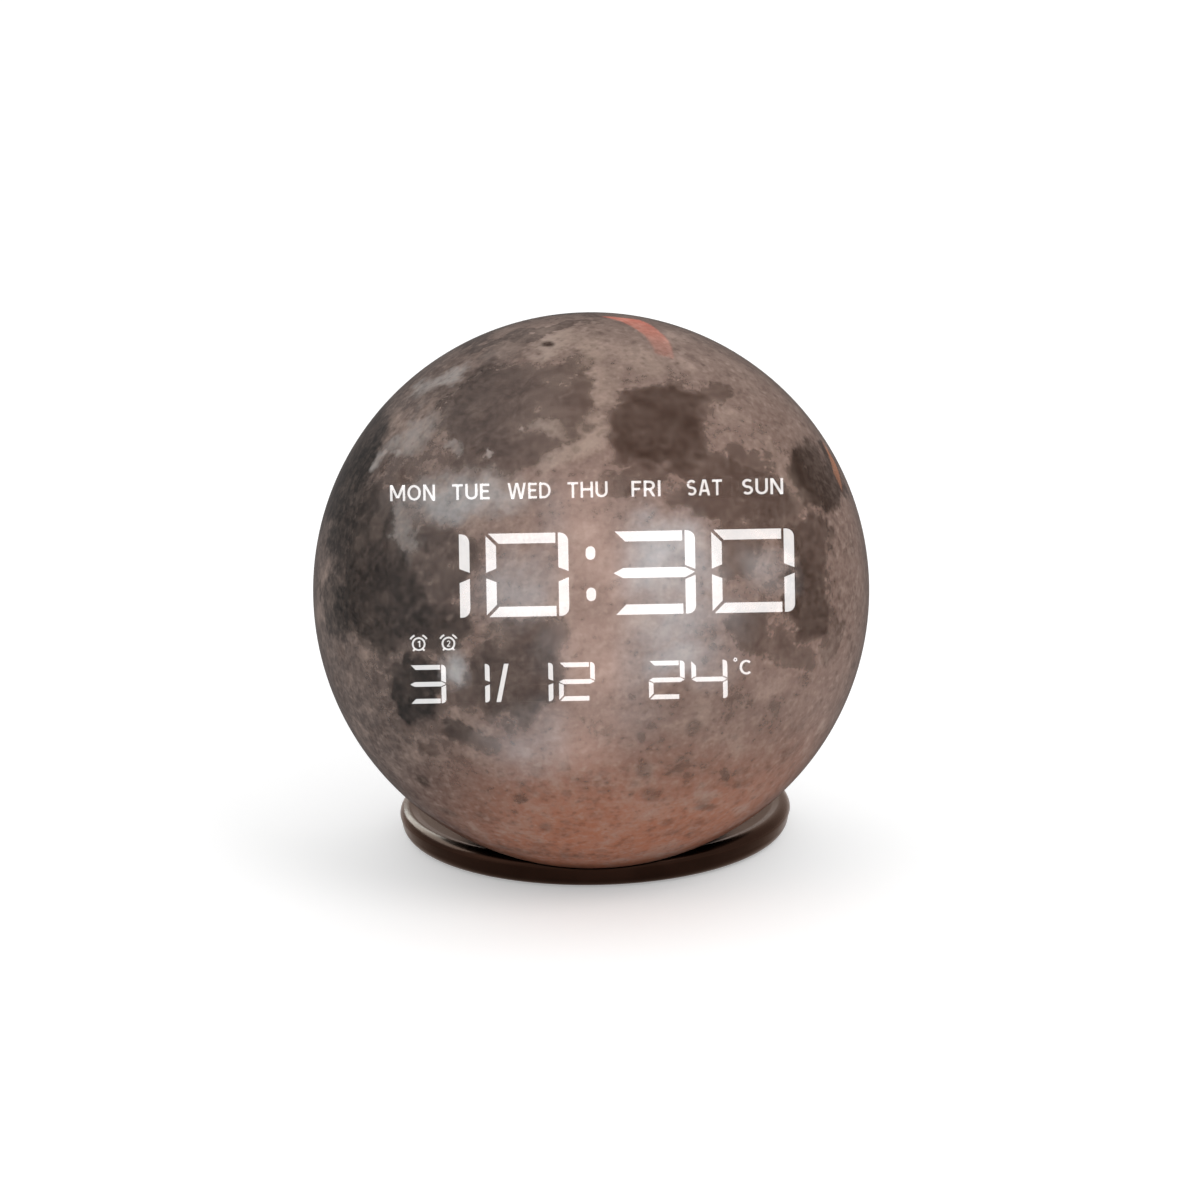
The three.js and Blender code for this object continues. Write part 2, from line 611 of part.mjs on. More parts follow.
function rearPanel() {
  const filletCentre = backFace - BACK_FILLET;
  const filletReach = BALL_RADIUS - BACK_FILLET;
  const flatRadius = Math.sqrt(filletReach ** 2 - filletCentre ** 2);
  const filletStart = THREE.MathUtils.radToDeg(Math.asin(filletCentre / filletReach));
  const plate = solid(revolve([
    [0, panelInner],
    [Math.sqrt(BALL_RADIUS ** 2 - panelInner ** 2), panelInner],
    ...arc(flatRadius, filletCentre, BACK_FILLET, filletStart, 90, STEPS.fillet),
    [0, backFace],
  ], SIDES.ball));
  const standoffs = standoffPlaces.map(([x, y]) => (
    disc(STANDOFF_RADIUS, boardTop + GAP, backFace - GRILLE_RECESS, SIDES.boss).translate(x, y, 0)
  ));
  const earBosses = earPlaces.map(([x, y]) => (
    disc(EAR_RADIUS, flangeTop + GAP, backFace - GRILLE_RECESS, SIDES.boss).translate(x, y, 0)
  ));
  const speakerHole = disc(SPEAKER_OPENING, panelInner - THROUGH, backFace + THROUGH, SIDES.speaker)
    .translate(0, -SPEAKER_DROP, 0);
  const grilleSeat = disc(GRILLE_RADIUS + GAP, backFace - GRILLE_RECESS, backFace + THROUGH, SIDES.grille)
    .translate(0, -SPEAKER_DROP, 0);
  const buttonHoles = buttonPlaces.map(([x, y]) => (
    disc(BUTTON_RADIUS + GAP, panelInner - GAP, backFace + THROUGH, SIDES.button).translate(x, y, 0)
  ));
  const inletSlot = prism(stadium(USB.width + 2 * GAP, USB.height + 2 * GAP), panelInner - GAP,
    backFace + THROUGH).translate(0, -USB.drop, 0);
  const vents = Array.from({ length: VENT_COUNT }, (_, index) => {
    const rise = (index - (VENT_COUNT - 1) / 2) * VENT.pitch;
    return box(VENT.width, VENT.height, panelInner - GAP, backFace + THROUGH)
      .translate(VENT.x, rise - VENT.drop, 0);
  });
  const earHoles = earPlaces.map(([x, y]) => (
    shankHole(SPEAKER_SCREW, flangeTop, flangeBottom + SPEAKER_SCREW.length).translate(x, y, 0)
  ));
  const standoffHoles = standoffPlaces.map(([x, y]) => (
    shankHole(BOARD_SCREW, boardTop, boardBottom + BOARD_SCREW.length).translate(x, y, 0)
  ));
  const panelHoles = panelScrewPlaces.map(([x, y]) => (
    countersink(PANEL_SCREW).translate(x, y, backFace)
  ));
  const whole = join(plate, ...standoffs, ...earBosses);
  const opened = cut(whole, speakerHole, grilleSeat, inletSlot, ...buttonHoles, ...vents);
  return piece('rear_panel', cut(opened, ...earHoles, ...standoffHoles, ...panelHoles), looks.casing);
}

ball.add(moonDome());
back.add(rearShell(), rearPanel());
addScrews(back, 'panel_screw', panelScrewPlaces, ([x, y]) => (
  countersunkScrew(PANEL_SCREW).translate(x, y, backFace)
), looks.darkSteel);

// Lit signs

// The seven windows of a digit about its centre: mitred on the left, rounded outside on the right.
function segmentOutlines({ width, height, stroke }) {
  const [right, top] = [width / 2, height / 2];
  const slit = SEGMENT.slit * stroke;
  const corner = SEGMENT.corner * stroke;
  const innerBreak = SEGMENT.innerBreak * stroke;
  const outerBreak = SEGMENT.outerBreak * stroke;
  const flip = (points) => points.map(([x, y]) => [x, -y]).reverse();
  const bar = [[slit - right, top], [slit + stroke - right, top - stroke],
    [right - stroke - slit, top - stroke], [right - stroke - slit, top]];
  const leftPost = [[-right, top - slit], [-right, outerBreak],
    [stroke - right, innerBreak], [stroke - right, top - slit - stroke]];
  const rightPost = [[right - stroke, innerBreak], [right, outerBreak],
    ...arc(right - corner, top - corner, corner, 0, 90, STEPS.corner), [right - stroke, top]];
  const shoulder = right - SEGMENT.shoulder * stroke;
  const middle = [[-right, 0], [-shoulder, -stroke / 2], [shoulder, -stroke / 2],
    [right, 0], [shoulder, stroke / 2], [-shoulder, stroke / 2]];
  return [bar, leftPost, rightPost, flip(bar), flip(leftPost), flip(rightPost), middle];
}

function digitWindows(digit, x) {
  return segmentOutlines(digit).map((outline) => (
    outline.map(([pointX, pointY]) => [pointX + x, pointY + digit.y])
  ));
}

function colonWindows() {
  const reach = (COLON.height - COLON.width) / 2;
  return [-COLON.spacing / 2, COLON.spacing / 2].map((rise) => [
    ...arc(0, TIME_DIGIT.y + rise + reach, COLON.width / 2, 0, 180, STEPS.edge),
    ...arc(0, TIME_DIGIT.y + rise - reach, COLON.width / 2, 180, 360, STEPS.edge),
  ]);
}

function slashWindow() {
  const [halfWidth, halfLean, halfHeight] = [SLASH.width / 2, SLASH.lean / 2, SMALL_DIGIT.height / 2];
  return [
    [SLASH.x - halfLean - halfWidth, SMALL_DIGIT.y - halfHeight],
    [SLASH.x - halfLean + halfWidth, SMALL_DIGIT.y - halfHeight],
    [SLASH.x + halfLean + halfWidth, SMALL_DIGIT.y + halfHeight],
    [SLASH.x + halfLean - halfWidth, SMALL_DIGIT.y + halfHeight],
  ];
}

function weekdayCentres() {
  const middle = (WEEKDAY_COUNT - 1) / 2;
  return Array.from({ length: WEEKDAY_COUNT }, (_, day) => (day - middle) * WEEKDAY_WINDOW.pitch);
}

function maskWindows() {
  const smallCentres = [...DATE_CENTRES, ...TEMPERATURE_CENTRES];
  const { width, height, y } = WEEKDAY_WINDOW;
  const degree = DEGREE_WINDOW;
  return [
    ...TIME_CENTRES.flatMap((x) => digitWindows(TIME_DIGIT, x)),
    ...smallCentres.flatMap((x) => digitWindows(SMALL_DIGIT, x)),
    ...colonWindows(),
    slashWindow(),
    rectanglePoints(degree.x, degree.y, degree.width, degree.height),
    ...weekdayCentres().map((x) => rectanglePoints(x, y, width, height)),
    ...ALARM_WINDOW.centres.map((x) => (
      arc(x, ALARM_WINDOW.y, ALARM_WINDOW.radius, 0, 360, SIDES.window).slice(0, -1)
    )),
  ];
}

// One rectangular light well behind each digit, sign and weekday.
function lightWells() {
  const margin = 2 * WELL_MARGIN;
  const well = (x, y, width, height) => rectanglePoints(x, y, width + margin, height + margin);
  const digitWell = (digit, x) => well(x, digit.y, digit.width, digit.height);
  const smallCentres = [...DATE_CENTRES, ...TEMPERATURE_CENTRES];
  const { width, height, y } = WEEKDAY_WINDOW;
  const alarm = ALARM_WINDOW;
  const slashWidth = SLASH.width + SLASH.lean;
  const colonHeight = COLON.spacing + COLON.height;
  return [
    ...TIME_CENTRES.map((x) => digitWell(TIME_DIGIT, x)),
    ...smallCentres.map((x) => digitWell(SMALL_DIGIT, x)),
    well(0, TIME_DIGIT.y, COLON.width, colonHeight),
    rectanglePoints(SLASH.x, SMALL_DIGIT.y, slashWidth, SMALL_DIGIT.height),
    rectanglePoints(DEGREE_WINDOW.x, DEGREE_WINDOW.y, DEGREE_WINDOW.width, DEGREE_WINDOW.height),
    ...weekdayCentres().map((x) => well(x, y, width, height)),
    ...alarm.centres.map((x) => well(x, alarm.y, 2 * alarm.radius, 2 * alarm.radius)),
  ];
}

function roundPlate(radius, bottom, top, windows = []) {
  const tools = windows.map((points) => (
    prism(new THREE.Shape(outlinePath(points)), bottom - THROUGH, top + THROUGH)
  ));
  return cut(solid(disc(radius, bottom, top, SIDES.disc)), ...tools);
}

// Display stack

function displayMask() {
  const plate = roundPlate(maskRadius, maskBack, MASK_FRONT, maskWindows());
  return piece('display_mask', plate, looks.mask);
}

function displayDiffuser() {
  const sheet = roundPlate(maskRadius, diffuserBack, diffuserFront);
  return piece('display_diffuser', sheet, looks.film);
}

function displayReflector() {
  const block = roundPlate(reflectorRadius, reflectorBack, reflectorFront, lightWells());
  const screwTip = carrierBack - GAP + DISPLAY_SCREW.length;
  const holes = displayScrewPlaces.map(([x, y]) => (
    shankHole(DISPLAY_SCREW, carrierBack, screwTip).translate(x, y, 0)
  ));
  return piece('display_reflector', cut(block, ...holes), looks.reflector);
}

function displayBoard() {
  const plate = roundPlate(reflectorRadius, displayBoardBack, displayBoardFront);
  const holes = displayScrewPlaces.map(([x, y]) => (
    shankHole(DISPLAY_SCREW, carrierBack, reflectorFront).translate(x, y, 0)
  ));
  return piece('display_board', cut(plate, ...holes), looks.board);
}

// A hat that stands on the spigot, with the trough for the battery cell moulded on its back.
function displayCarrier() {
  const flangeFront = carrierSeat + CARRIER_THICKNESS;
  const flangeOuter = Math.sqrt((innerRadius - DOME_CLEARANCE) ** 2 - flangeFront ** 2);
  const hat = solid(revolve([
    [0, carrierBack],
    [skirtInner, carrierBack],
    [skirtInner, carrierSeat],
    [flangeOuter, carrierSeat],
    [flangeOuter, flangeFront],
    [reflectorRadius, flangeFront],
    [reflectorRadius, carrierFront],
    [0, carrierFront],
  ], SIDES.ball));
  const section = new THREE.Shape(outlinePath([
    ...arc(0, 0, troughRadius, -180, 0, STEPS.trough),
    ...arc(0, 0, CELL_RADIUS + GAP, 0, -180, STEPS.trough),
  ]));
  const trough = prism(section, -TROUGH_LENGTH / 2, TROUGH_LENGTH / 2)
    .rotateZ(Math.PI)
    .rotateX(Math.PI / 2)
    .rotateZ(Math.PI / 2)
    .translate(0, -CELL_DROP, cellAxis);
  const foot = box(TROUGH_LENGTH, TROUGH_FOOT, cellAxis, carrierBack + CARRIER_THICKNESS / 2)
    .translate(0, -CELL_DROP, 0);
  const boreEnd = CELL_LENGTH / 2 + GAP;
  const bore = disc(CELL_RADIUS + GAP, -boreEnd, boreEnd, 2 * STEPS.trough)
    .rotateY(Math.PI / 2)
    .translate(0, -CELL_DROP, cellAxis);
  const ribbonSlot = box(RIBBON.width + 2 * RIBBON_SLOT, RIBBON.thickness + 2 * RIBBON_SLOT,
    carrierBack - THROUGH, carrierFront + THROUGH).translate(0, RIBBON.y, 0);
  const displayHoles = displayScrewPlaces.map(([x, y]) => (
    shankHole(DISPLAY_SCREW, carrierBack - THROUGH, carrierFront + THROUGH).translate(x, y, 0)
  ));
  const flangeHoles = carrierScrewPlaces.map(([x, y]) => (
    shankHole(CARRIER_SCREW, carrierSeat - GAP, flangeFront + GAP).translate(x, y, 0)
  ));
  const whole = join(hat, trough, foot);
  return piece('display_carrier', cut(whole, bore, ribbonSlot, ...displayHoles, ...flangeHoles),
    looks.carrier);
}

function batteryCell() {
  const half = CELL_LENGTH / 2;
  const cell = revolve([[0, -half], [CELL_RADIUS, -half], [CELL_RADIUS, half - CELL_TERMINAL],
    [CELL_BUTTON, half - CELL_TERMINAL], [CELL_BUTTON, half], [0, half]], SIDES.cell)
    .rotateY(Math.PI / 2)
    .translate(0, -CELL_DROP, cellAxis);
  return piece('battery_cell', solid(cell), looks.cell);
}

ball.add(displayMask(), displayDiffuser(), displayReflector(), displayBoard(), displayCarrier());
ball.add(batteryCell());
addScrews(ball, 'display_screw', displayScrewPlaces, ([x, y]) => (
  panScrew(DISPLAY_SCREW).rotateX(Math.PI).translate(x, y, carrierBack - GAP)
), looks.steel);
addScrews(ball, 'carrier_screw', carrierScrewPlaces, ([x, y]) => (
  panScrew(CARRIER_SCREW).translate(x, y, carrierSeat + CARRIER_THICKNESS + GAP)
), looks.steel);

// Speaker: every piece turns about the speaker's axis on the back panel.

function onSpeakerAxis(geometry) {
  return geometry.translate(0, -SPEAKER_DROP, 0);
}

function speakerPiece(name, outline, material) {
  return piece(name, solid(onSpeakerAxis(revolveRing(outline, SIDES.speaker))), material);
}

function speakerGrille() {
  const rimBottom = backFace - GRILLE_RECESS + GAP;
  const rimTop = rimBottom + GRILLE_THICKNESS;
  const plateau = GRILLE_RADIUS - GRILLE_SLOPE;
  const sheet = solid(revolve([
    [0, rimBottom + GRILLE_CROWN],
    [plateau, rimBottom + GRILLE_CROWN],
    [GRILLE_RADIUS - GRILLE_THICKNESS, rimBottom],
    [GRILLE_RADIUS, rimBottom],
    [GRILLE_RADIUS, rimTop],
    [plateau, rimTop + GRILLE_CROWN],
    [0, rimTop + GRILLE_CROWN],
  ], SIDES.grille));
  const holes = [];
  for (let ringIndex = 0; ringIndex <= GRILLE_RINGS; ringIndex += 1) {
    const count = Math.max(1, GRILLE_FOLD * ringIndex);
    for (let hole = 0; hole < count; hole += 1) {
      const [x, y] = onCircle(ringIndex * GRILLE_PITCH, 360 * hole / count);
      holes.push(disc(GRILLE_HOLE, rimBottom - THROUGH, rimTop + THROUGH, SIDES.hole).translate(x, y, 0));
    }
  }
  const drilled = geometryOf(cut(sheet, ...holes));
  return piece('speaker_grille', solid(onSpeakerAxis(drilled)), looks.darkSteel);
}

function speakerGasket() {
  const top = panelInner - GAP;
  return speakerPiece('speaker_gasket', [[SPEAKER_OPENING + GAP, gasketFront],
    [sealRadius, gasketFront], [sealRadius, top], [SPEAKER_OPENING + GAP, top]], looks.rubber);
}

function speakerBasket() {
  const neck = MAGNET_HOLE - BASKET_WALL;
  const frame = solid(revolveRing([[neck, basketBottom], [BASKET_RADIUS, basketBottom],
    [BASKET_RADIUS, flangeBottom], [FLANGE_RADIUS, flangeBottom], [FLANGE_RADIUS, flangeTop],
    [basketInner, flangeTop], [basketInner, basketFloor], [neck, basketFloor]], SIDES.speaker));
  const ears = earPlaces.map(([x, y]) => (
    disc(EAR_RADIUS, flangeBottom, flangeTop, SIDES.boss).translate(x, y + SPEAKER_DROP, 0)
  ));
  const earHoles = earPlaces.map(([x, y]) => (
    shankHole(SPEAKER_SCREW, flangeBottom - GAP, flangeTop + GAP).translate(x, y + SPEAKER_DROP, 0)
  ));
  const earClearance = disc(basketInner, basketFloor, flangeTop + THROUGH, SIDES.speaker);
  const windowBottom = basketFloor + BASKET_WALL / 2;
  const windowTop = flangeBottom - BASKET_WALL / 2;
  const windows = Array.from({ length: BASKET_WINDOWS }, (_, index) => (
    box(2 * BASKET_WALL + THROUGH, BASKET_WINDOW, windowBottom, windowTop)
      .translate(BASKET_RADIUS, 0, 0)
      .rotateZ(radians(360 * index / BASKET_WINDOWS))
  ));
  const whole = geometryOf(cut(join(frame, ...ears), earClearance, ...earHoles, ...windows));
  return piece('speaker_basket', solid(onSpeakerAxis(whole)), looks.darkSteel);
}

// Half-roll edge between the flange and the cone.
function speakerSurround() {
  const lipTop = lipBottom + SURROUND_THICKNESS;
  const lipInner = CONE_RADIUS - SURROUND_LIP;
  const rollCentre = CONE_RADIUS + SURROUND_ROLL;
  const innerRoll = SURROUND_ROLL - SURROUND_THICKNESS;
  const lift = THREE.MathUtils.radToDeg(Math.asin(SURROUND_THICKNESS / SURROUND_ROLL));
  return speakerPiece('speaker_surround', [
    [lipInner, lipBottom],
    ...arc(rollCentre, lipBottom, innerRoll, 180, 0, STEPS.roll),
    [sealRadius, lipBottom],
    [sealRadius, lipTop],
    ...arc(rollCentre, lipBottom, SURROUND_ROLL, lift, 180 - lift, STEPS.roll),
    [lipInner, lipTop],
  ], looks.rubber);
}

function speakerCone() {
  const shoulder = CONE_RADIUS - SURROUND_LIP;
  return speakerPiece('speaker_cone', [
    [coneNeck, coneBottom - CONE_SHEET],
    [shoulder + CONE_SHEET / 2, coneTop - CONE_SHEET],
    [CONE_RADIUS, coneTop - CONE_SHEET],
    [CONE_RADIUS, coneTop],
    [shoulder, coneTop],
    [coneNeck, coneBottom],
  ], looks.paper);
}

function dustCap() {
  const rim = coneNeck + CONE_SHEET;
  const slope = (coneTop - coneBottom) / (CONE_RADIUS - SURROUND_LIP - coneNeck);
  const rimHeight = coneBottom + (rim - coneNeck) * slope + GAP;
  const capRadius = (rim ** 2 + DUST_CAP_RISE ** 2) / (2 * DUST_CAP_RISE);
  const halfAngle = THREE.MathUtils.radToDeg(Math.asin(rim / capRadius));
  const crown = (rise) => arc(0, rimHeight + rise + DUST_CAP_RISE - capRadius, capRadius,
    90 - halfAngle, 90, STEPS.cap);
  const cap = revolve([...crown(0).reverse(), ...crown(CONE_SHEET)], SIDES.speaker);
  return piece('speaker_dust_cap', solid(onSpeakerAxis(cap)), looks.paper);
}

function voiceCoil() {
  const windingTop = topPlateTop - COIL_SHEET;
  const windingBottom = coilBottom + COIL_SHEET;
  return speakerPiece('voice_coil', [[COIL_RADIUS, coilBottom], [coilOuter, coilBottom],
    [coilOuter, windingBottom], [windingRadius, windingBottom], [windingRadius, windingTop],
    [coilOuter, windingTop], [coilOuter, coilTop], [COIL_RADIUS, coilTop]], looks.copper);
}

// Corrugated centring disc between the coil and the basket's floor.
function speakerSpider() {
  const bottom = basketFloor + GAP;
  const inner = windingRadius + GAP;
  const outer = basketInner - GAP;
  const crests = Array.from({ length: 2 * SPIDER_WAVES + 1 }, (_, index) => {
    const radius = inner + (outer - inner) * index / (2 * SPIDER_WAVES);
    return [radius, bottom + (index % 2) * SPIDER_WAVE];
  });
  const upper = crests.map(([radius, height]) => [radius, height + SPIDER_SHEET]).reverse();
  return speakerPiece('speaker_spider', [...crests, ...upper], looks.spider);
}

function topPlate() {
  const hole = windingRadius + COIL_WINDING;
  return speakerPiece('speaker_top_plate', [[hole, topPlateBottom], [TOP_PLATE_RADIUS, topPlateBottom],
    [TOP_PLATE_RADIUS, topPlateTop], [hole, topPlateTop]], looks.steel);
}

function ringMagnet() {
  return speakerPiece('speaker_magnet', [[MAGNET_HOLE, magnetBottom], [MAGNET_RADIUS, magnetBottom],
    [MAGNET_RADIUS, magnetTop], [MAGNET_HOLE, magnetTop]], looks.ferrite);
}

function yoke() {
  const body = revolve([[0, yokeBottom], [TOP_PLATE_RADIUS, yokeBottom], [TOP_PLATE_RADIUS, yokeTop],
    [poleRadius, yokeTop], [poleRadius, topPlateTop], [0, topPlateTop]], SIDES.speaker);
  return piece('speaker_yoke', solid(onSpeakerAxis(body)), looks.steel);
}

back.add(speakerGrille(), speakerGasket(), speakerBasket(), speakerSurround(), speakerCone());
back.add(dustCap(), voiceCoil(), speakerSpider(), topPlate(), ringMagnet(), yoke());
addScrews(back, 'speaker_screw', earPlaces, ([x, y]) => (
  panScrew(SPEAKER_SCREW).rotateX(Math.PI).translate(x, y, flangeBottom - GAP)
), looks.steel);

// Buttons and switches

function pushButton(name, [x, y]) {
  const stemTip = plungerTop + BUTTON_TRAVEL + GAP;
  const flangeBack = panelInner - GAP;
  const flangeFront = flangeBack - BUTTON_FLANGE_THICKNESS;
  const flangeRadius = BUTTON_RADIUS + BUTTON_FLANGE;
  const top = backFace + BUTTON_PROUD;
  const body = revolve([
    [0, stemTip],
    [BUTTON_STEM, stemTip],
    [BUTTON_STEM, flangeFront],
    [flangeRadius, flangeFront],
    [flangeRadius, flangeBack],
    [BUTTON_RADIUS, flangeBack],
    ...arc(BUTTON_RADIUS - BUTTON_EDGE, top - BUTTON_EDGE, BUTTON_EDGE, 0, 90, STEPS.edge),
    [0, top - BUTTON_DISH],
  ], SIDES.button);
  return piece(`button_${name}`, solid(body.translate(x, y, 0)), looks.button);
}

function tactSwitch(name, [x, y]) {
  const bodyTop = partBottom + SWITCH_HEIGHT;
  const body = solid(box(SWITCH_SIDE, SWITCH_SIDE, partBottom, bodyTop).translate(x, y, 0));
  const plunger = disc(PLUNGER_RADIUS, bodyTop - PLUNGER_HEIGHT, plungerTop, SIDES.screw);
  return piece(`switch_${name}`, join(body, plunger.translate(x, y, 0)), looks.darkSteel);
}

BUTTON_NAMES.forEach((name, index) => {
  back.add(pushButton(name, buttonPlaces[index]), tactSwitch(name, buttonPlaces[index]));
});

// Main board and what stands on it

function mainBoard() {
  const plate = solid(disc(boardRadius, boardBottom, boardTop, SIDES.disc));
  const speakerHole = disc(boardHole, boardBottom - THROUGH, boardTop + THROUGH, SIDES.speaker);
  const holes = standoffPlaces.map(([x, y]) => (
    shankHole(BOARD_SCREW, boardBottom - THROUGH, boardTop + THROUGH).translate(x, y, 0)
  ));
  return piece('main_board', cut(plate, onSpeakerAxis(speakerHole), ...holes), looks.board);
}

function usbPort() {
  const mouth = backFace - GAP;
  const floor = mouth - USB.depth;
  const shell = solid(prism(stadium(USB.width, USB.height), partBottom, mouth));
  const bore = prism(stadium(USB.width - 2 * USB.wall, USB.height - 2 * USB.wall), floor, mouth + THROUGH);
  const tongue = box(USB.tongue, USB.tongueThickness, floor - USB.wall, mouth - USB_TONGUE_SETBACK);
  const body = geometryOf(join(cut(shell, bore), tongue));
  return piece('usb_port', solid(body.translate(0, -USB.drop, 0)), looks.steel);
}

// A bead on two legs behind the vents.
function temperatureSensor() {
  const beadHeight = panelInner - GAP - BEAD_RADIUS;
  const bead = revolve(sphereArc(BEAD_RADIUS, -BEAD_RADIUS, BEAD_RADIUS, STEPS.bead), SIDES.window)
    .translate(VENT.x, -VENT.drop, beadHeight);
  const legs = [-1, 1].map((side) => (
    disc(BEAD_LEG, partBottom, beadHeight, SIDES.lead)
      .translate(VENT.x + side * BEAD_RADIUS / 2, -VENT.drop, 0)
  ));
  return piece('temperature_sensor', join(solid(bead), ...legs), looks.rubber);
}

function radioModule() {
  const top = boardBottom - GAP;
  const can = box(RADIO.width, RADIO.height, top - RADIO.thickness, top).translate(RADIO.x, RADIO.y, 0);
  return piece('radio_module', solid(can), looks.steel);
}

back.add(mainBoard(), usbPort(), temperatureSensor(), radioModule());
addScrews(back, 'board_screw', standoffPlaces, ([x, y]) => (
  panScrew(BOARD_SCREW).rotateX(Math.PI).translate(x, y, boardBottom - GAP)
), looks.steel);

// Leads

// Flat cable from the display board through the carrier's slot to the main board.
function displayRibbon() {
  const start = displayBoardBack - GAP;
  const end = -boardBottom + GAP;
  const middle = (carrierBack + end) / 2;
  const route = new THREE.CatmullRomCurve3([
    new THREE.Vector3(start, RIBBON.y, 0),
    new THREE.Vector3(carrierBack - RIBBON.straight, RIBBON.y, 0),
    new THREE.Vector3(middle, RIBBON.y - RIBBON.slack, 0),
    new THREE.Vector3(end + RIBBON.straight, RIBBON.y, 0),
    new THREE.Vector3(end, RIBBON.y, 0),
  ]);
  const half = RIBBON.thickness / 2;
  const points = route.getPoints(STEPS.ribbon).map(({ x, y }) => [x, y]);
  const upper = points.map(([x, y]) => [x, y + half]);
  const lower = points.map(([x, y]) => [x, y - half]).reverse();
  const outline = new THREE.Shape(outlinePath([...upper, ...lower]));
  const strip = prism(outline, -RIBBON.width / 2, RIBBON.width / 2).rotateY(-Math.PI / 2);
  return piece('display_ribbon', solid(strip), looks.ribbon);
}

// From the cell's end to the front of the main board.
function batteryLeads() {
  const { radius, bend, straight, x, y } = BATTERY_LEAD;
  const cellEnd = CELL_LENGTH / 2 + GAP;
  const end = -boardBottom + GAP;
  const route = [
    [cellEnd, -CELL_DROP, cellAxis],
    [cellEnd + bend, -CELL_DROP, cellAxis - bend / 2],
    [cellEnd, -CELL_DROP, cellAxis - CELL_RADIUS],
    [x, y, end + straight],
    [x, y, end],
  ];
  return piece('battery_leads', solid(tube(route, radius)), looks.lead);
}

// From the basket's side to the back of the main board.
function speakerLeads() {
  const { radius, reach } = SPEAKER_LEAD;
  const start = BASKET_RADIUS + GAP;
  const height = (flangeBottom + boardTop) / 2;
  const route = [
    [-start, -SPEAKER_DROP, height],
    [-start - reach / 2, -SPEAKER_DROP, height],
    [-start - reach + radius, -SPEAKER_DROP, height - radius],
    [-start - reach, -SPEAKER_DROP, partBottom],
  ];
  return piece('speaker_leads', solid(tube(route, radius)), looks.lead);
}

ball.add(displayRibbon(), batteryLeads());
back.add(speakerLeads());

export default clock;
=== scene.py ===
"""Looks of the speaker clock: fine pieces, materials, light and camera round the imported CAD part."""

import json
import math

import bmesh
import bpy
from mathutils import Matrix, Quaternion, Vector


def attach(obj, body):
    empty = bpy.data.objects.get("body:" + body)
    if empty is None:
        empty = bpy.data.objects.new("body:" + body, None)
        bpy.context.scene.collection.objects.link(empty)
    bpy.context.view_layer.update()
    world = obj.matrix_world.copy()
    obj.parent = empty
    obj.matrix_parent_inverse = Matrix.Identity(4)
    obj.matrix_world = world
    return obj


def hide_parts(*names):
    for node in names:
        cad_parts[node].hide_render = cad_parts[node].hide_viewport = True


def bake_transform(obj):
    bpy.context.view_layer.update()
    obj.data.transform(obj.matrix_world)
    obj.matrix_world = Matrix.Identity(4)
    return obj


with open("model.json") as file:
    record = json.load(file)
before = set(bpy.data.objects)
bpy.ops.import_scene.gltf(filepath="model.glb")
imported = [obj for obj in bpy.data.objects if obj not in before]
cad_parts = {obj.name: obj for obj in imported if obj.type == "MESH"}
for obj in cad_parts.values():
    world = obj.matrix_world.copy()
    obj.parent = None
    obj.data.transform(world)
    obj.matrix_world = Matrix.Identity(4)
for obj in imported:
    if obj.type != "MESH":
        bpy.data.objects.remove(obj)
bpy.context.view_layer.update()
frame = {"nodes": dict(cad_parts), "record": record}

MM = 0.001  # sizes below are in millimetres, Blender works in metres

# Sizes shared with the CAD source
GAP = 0.3
BALL_RADIUS = 60
WALL = 2.4
BALL_CENTRE = (0, -23.2, 61.5)
BALL_TILT = 14
BALL_FLAT = 3.5
SHELL_FLOOR = 2.4
BACK_EDGE_RADIUS = 40.8
BACK_FILLET = 2.5
PANEL_THICKNESS = 2.4
LEDGE_WIDTH = 7.3
LEDGE_THICKNESS = 2
SPIGOT_LENGTH = 4
SPIGOT_OUTER = 57.16
SPIGOT_WALL = 2.1
SPIGOT_ROOT = 3
BASE_RADIUS = 44.3
BASE_FOOT_RADIUS = 43.9
BASE_HEIGHT = 6.9
BASE_EDGE = 2
BASE_FOOT_EDGE = 3
BASE_RIM = 2.1
BASE_DISH = 0.7
BASE_FLOOR_TOP = 3.2
BASE_FLOOR_BOTTOM = 1.5
PAD_RADIUS = 39.3
PAD_THICKNESS = 1.2
PAD_PROUD = 0.5
SPEAKER_DROP = 3
SPEAKER_OPENING = 15
GRILLE_RADIUS = 17
GRILLE_SHEET = 0.8
GRILLE_RECESS = 1.2
GRILLE_CROWN = 0.8
GRILLE_SLOPE = 2.6
GRILLE_PITCH = 4
GRILLE_HOLE = 1.25
GRILLE_RINGS = 3
GRILLE_FOLD = 6
GASKET_THICKNESS = 0.8
SEAL_RADIUS = 16.8
SURROUND_THICKNESS = 0.35
SURROUND_ROLL = 1.6
SURROUND_LIP = 1.4
CONE_RADIUS = 11.7
BASKET_DEPTH = 6
BASKET_WALL = 1
SPIDER_RADII = (6.8, 14.6)
SPIDER_SHEET = 0.3
SPIDER_WAVE = 0.35
SPIDER_WAVES = 3
SUSPENSION_SECTORS = 8
SECTOR_STEPS = 8
BUTTON_CIRCLE = 26
BUTTON_STEP = 25
BUTTON_RADIUS = 3.7
BUTTON_PROUD = 1
BUTTON_EDGE = 0.6
BUTTON_DISH = 0.2
BUTTON_FLANGE = 1.1
BUTTON_FLANGE_THICKNESS = 1
BUTTON_STEM = 1.6
BUTTON_STEM_LENGTH = 1.2
BUTTON_NAMES = ("mode", "minus", "play", "plus", "alarm")
USB_WIDTH = 8.94
USB_HEIGHT = 3.26
USB_WALL = 0.3
USB_DROP = 27
USB_DEPTH = 7.2
USB_TONGUE = (6.7, 0.7)
USB_TONGUE_SETBACK = 1.1
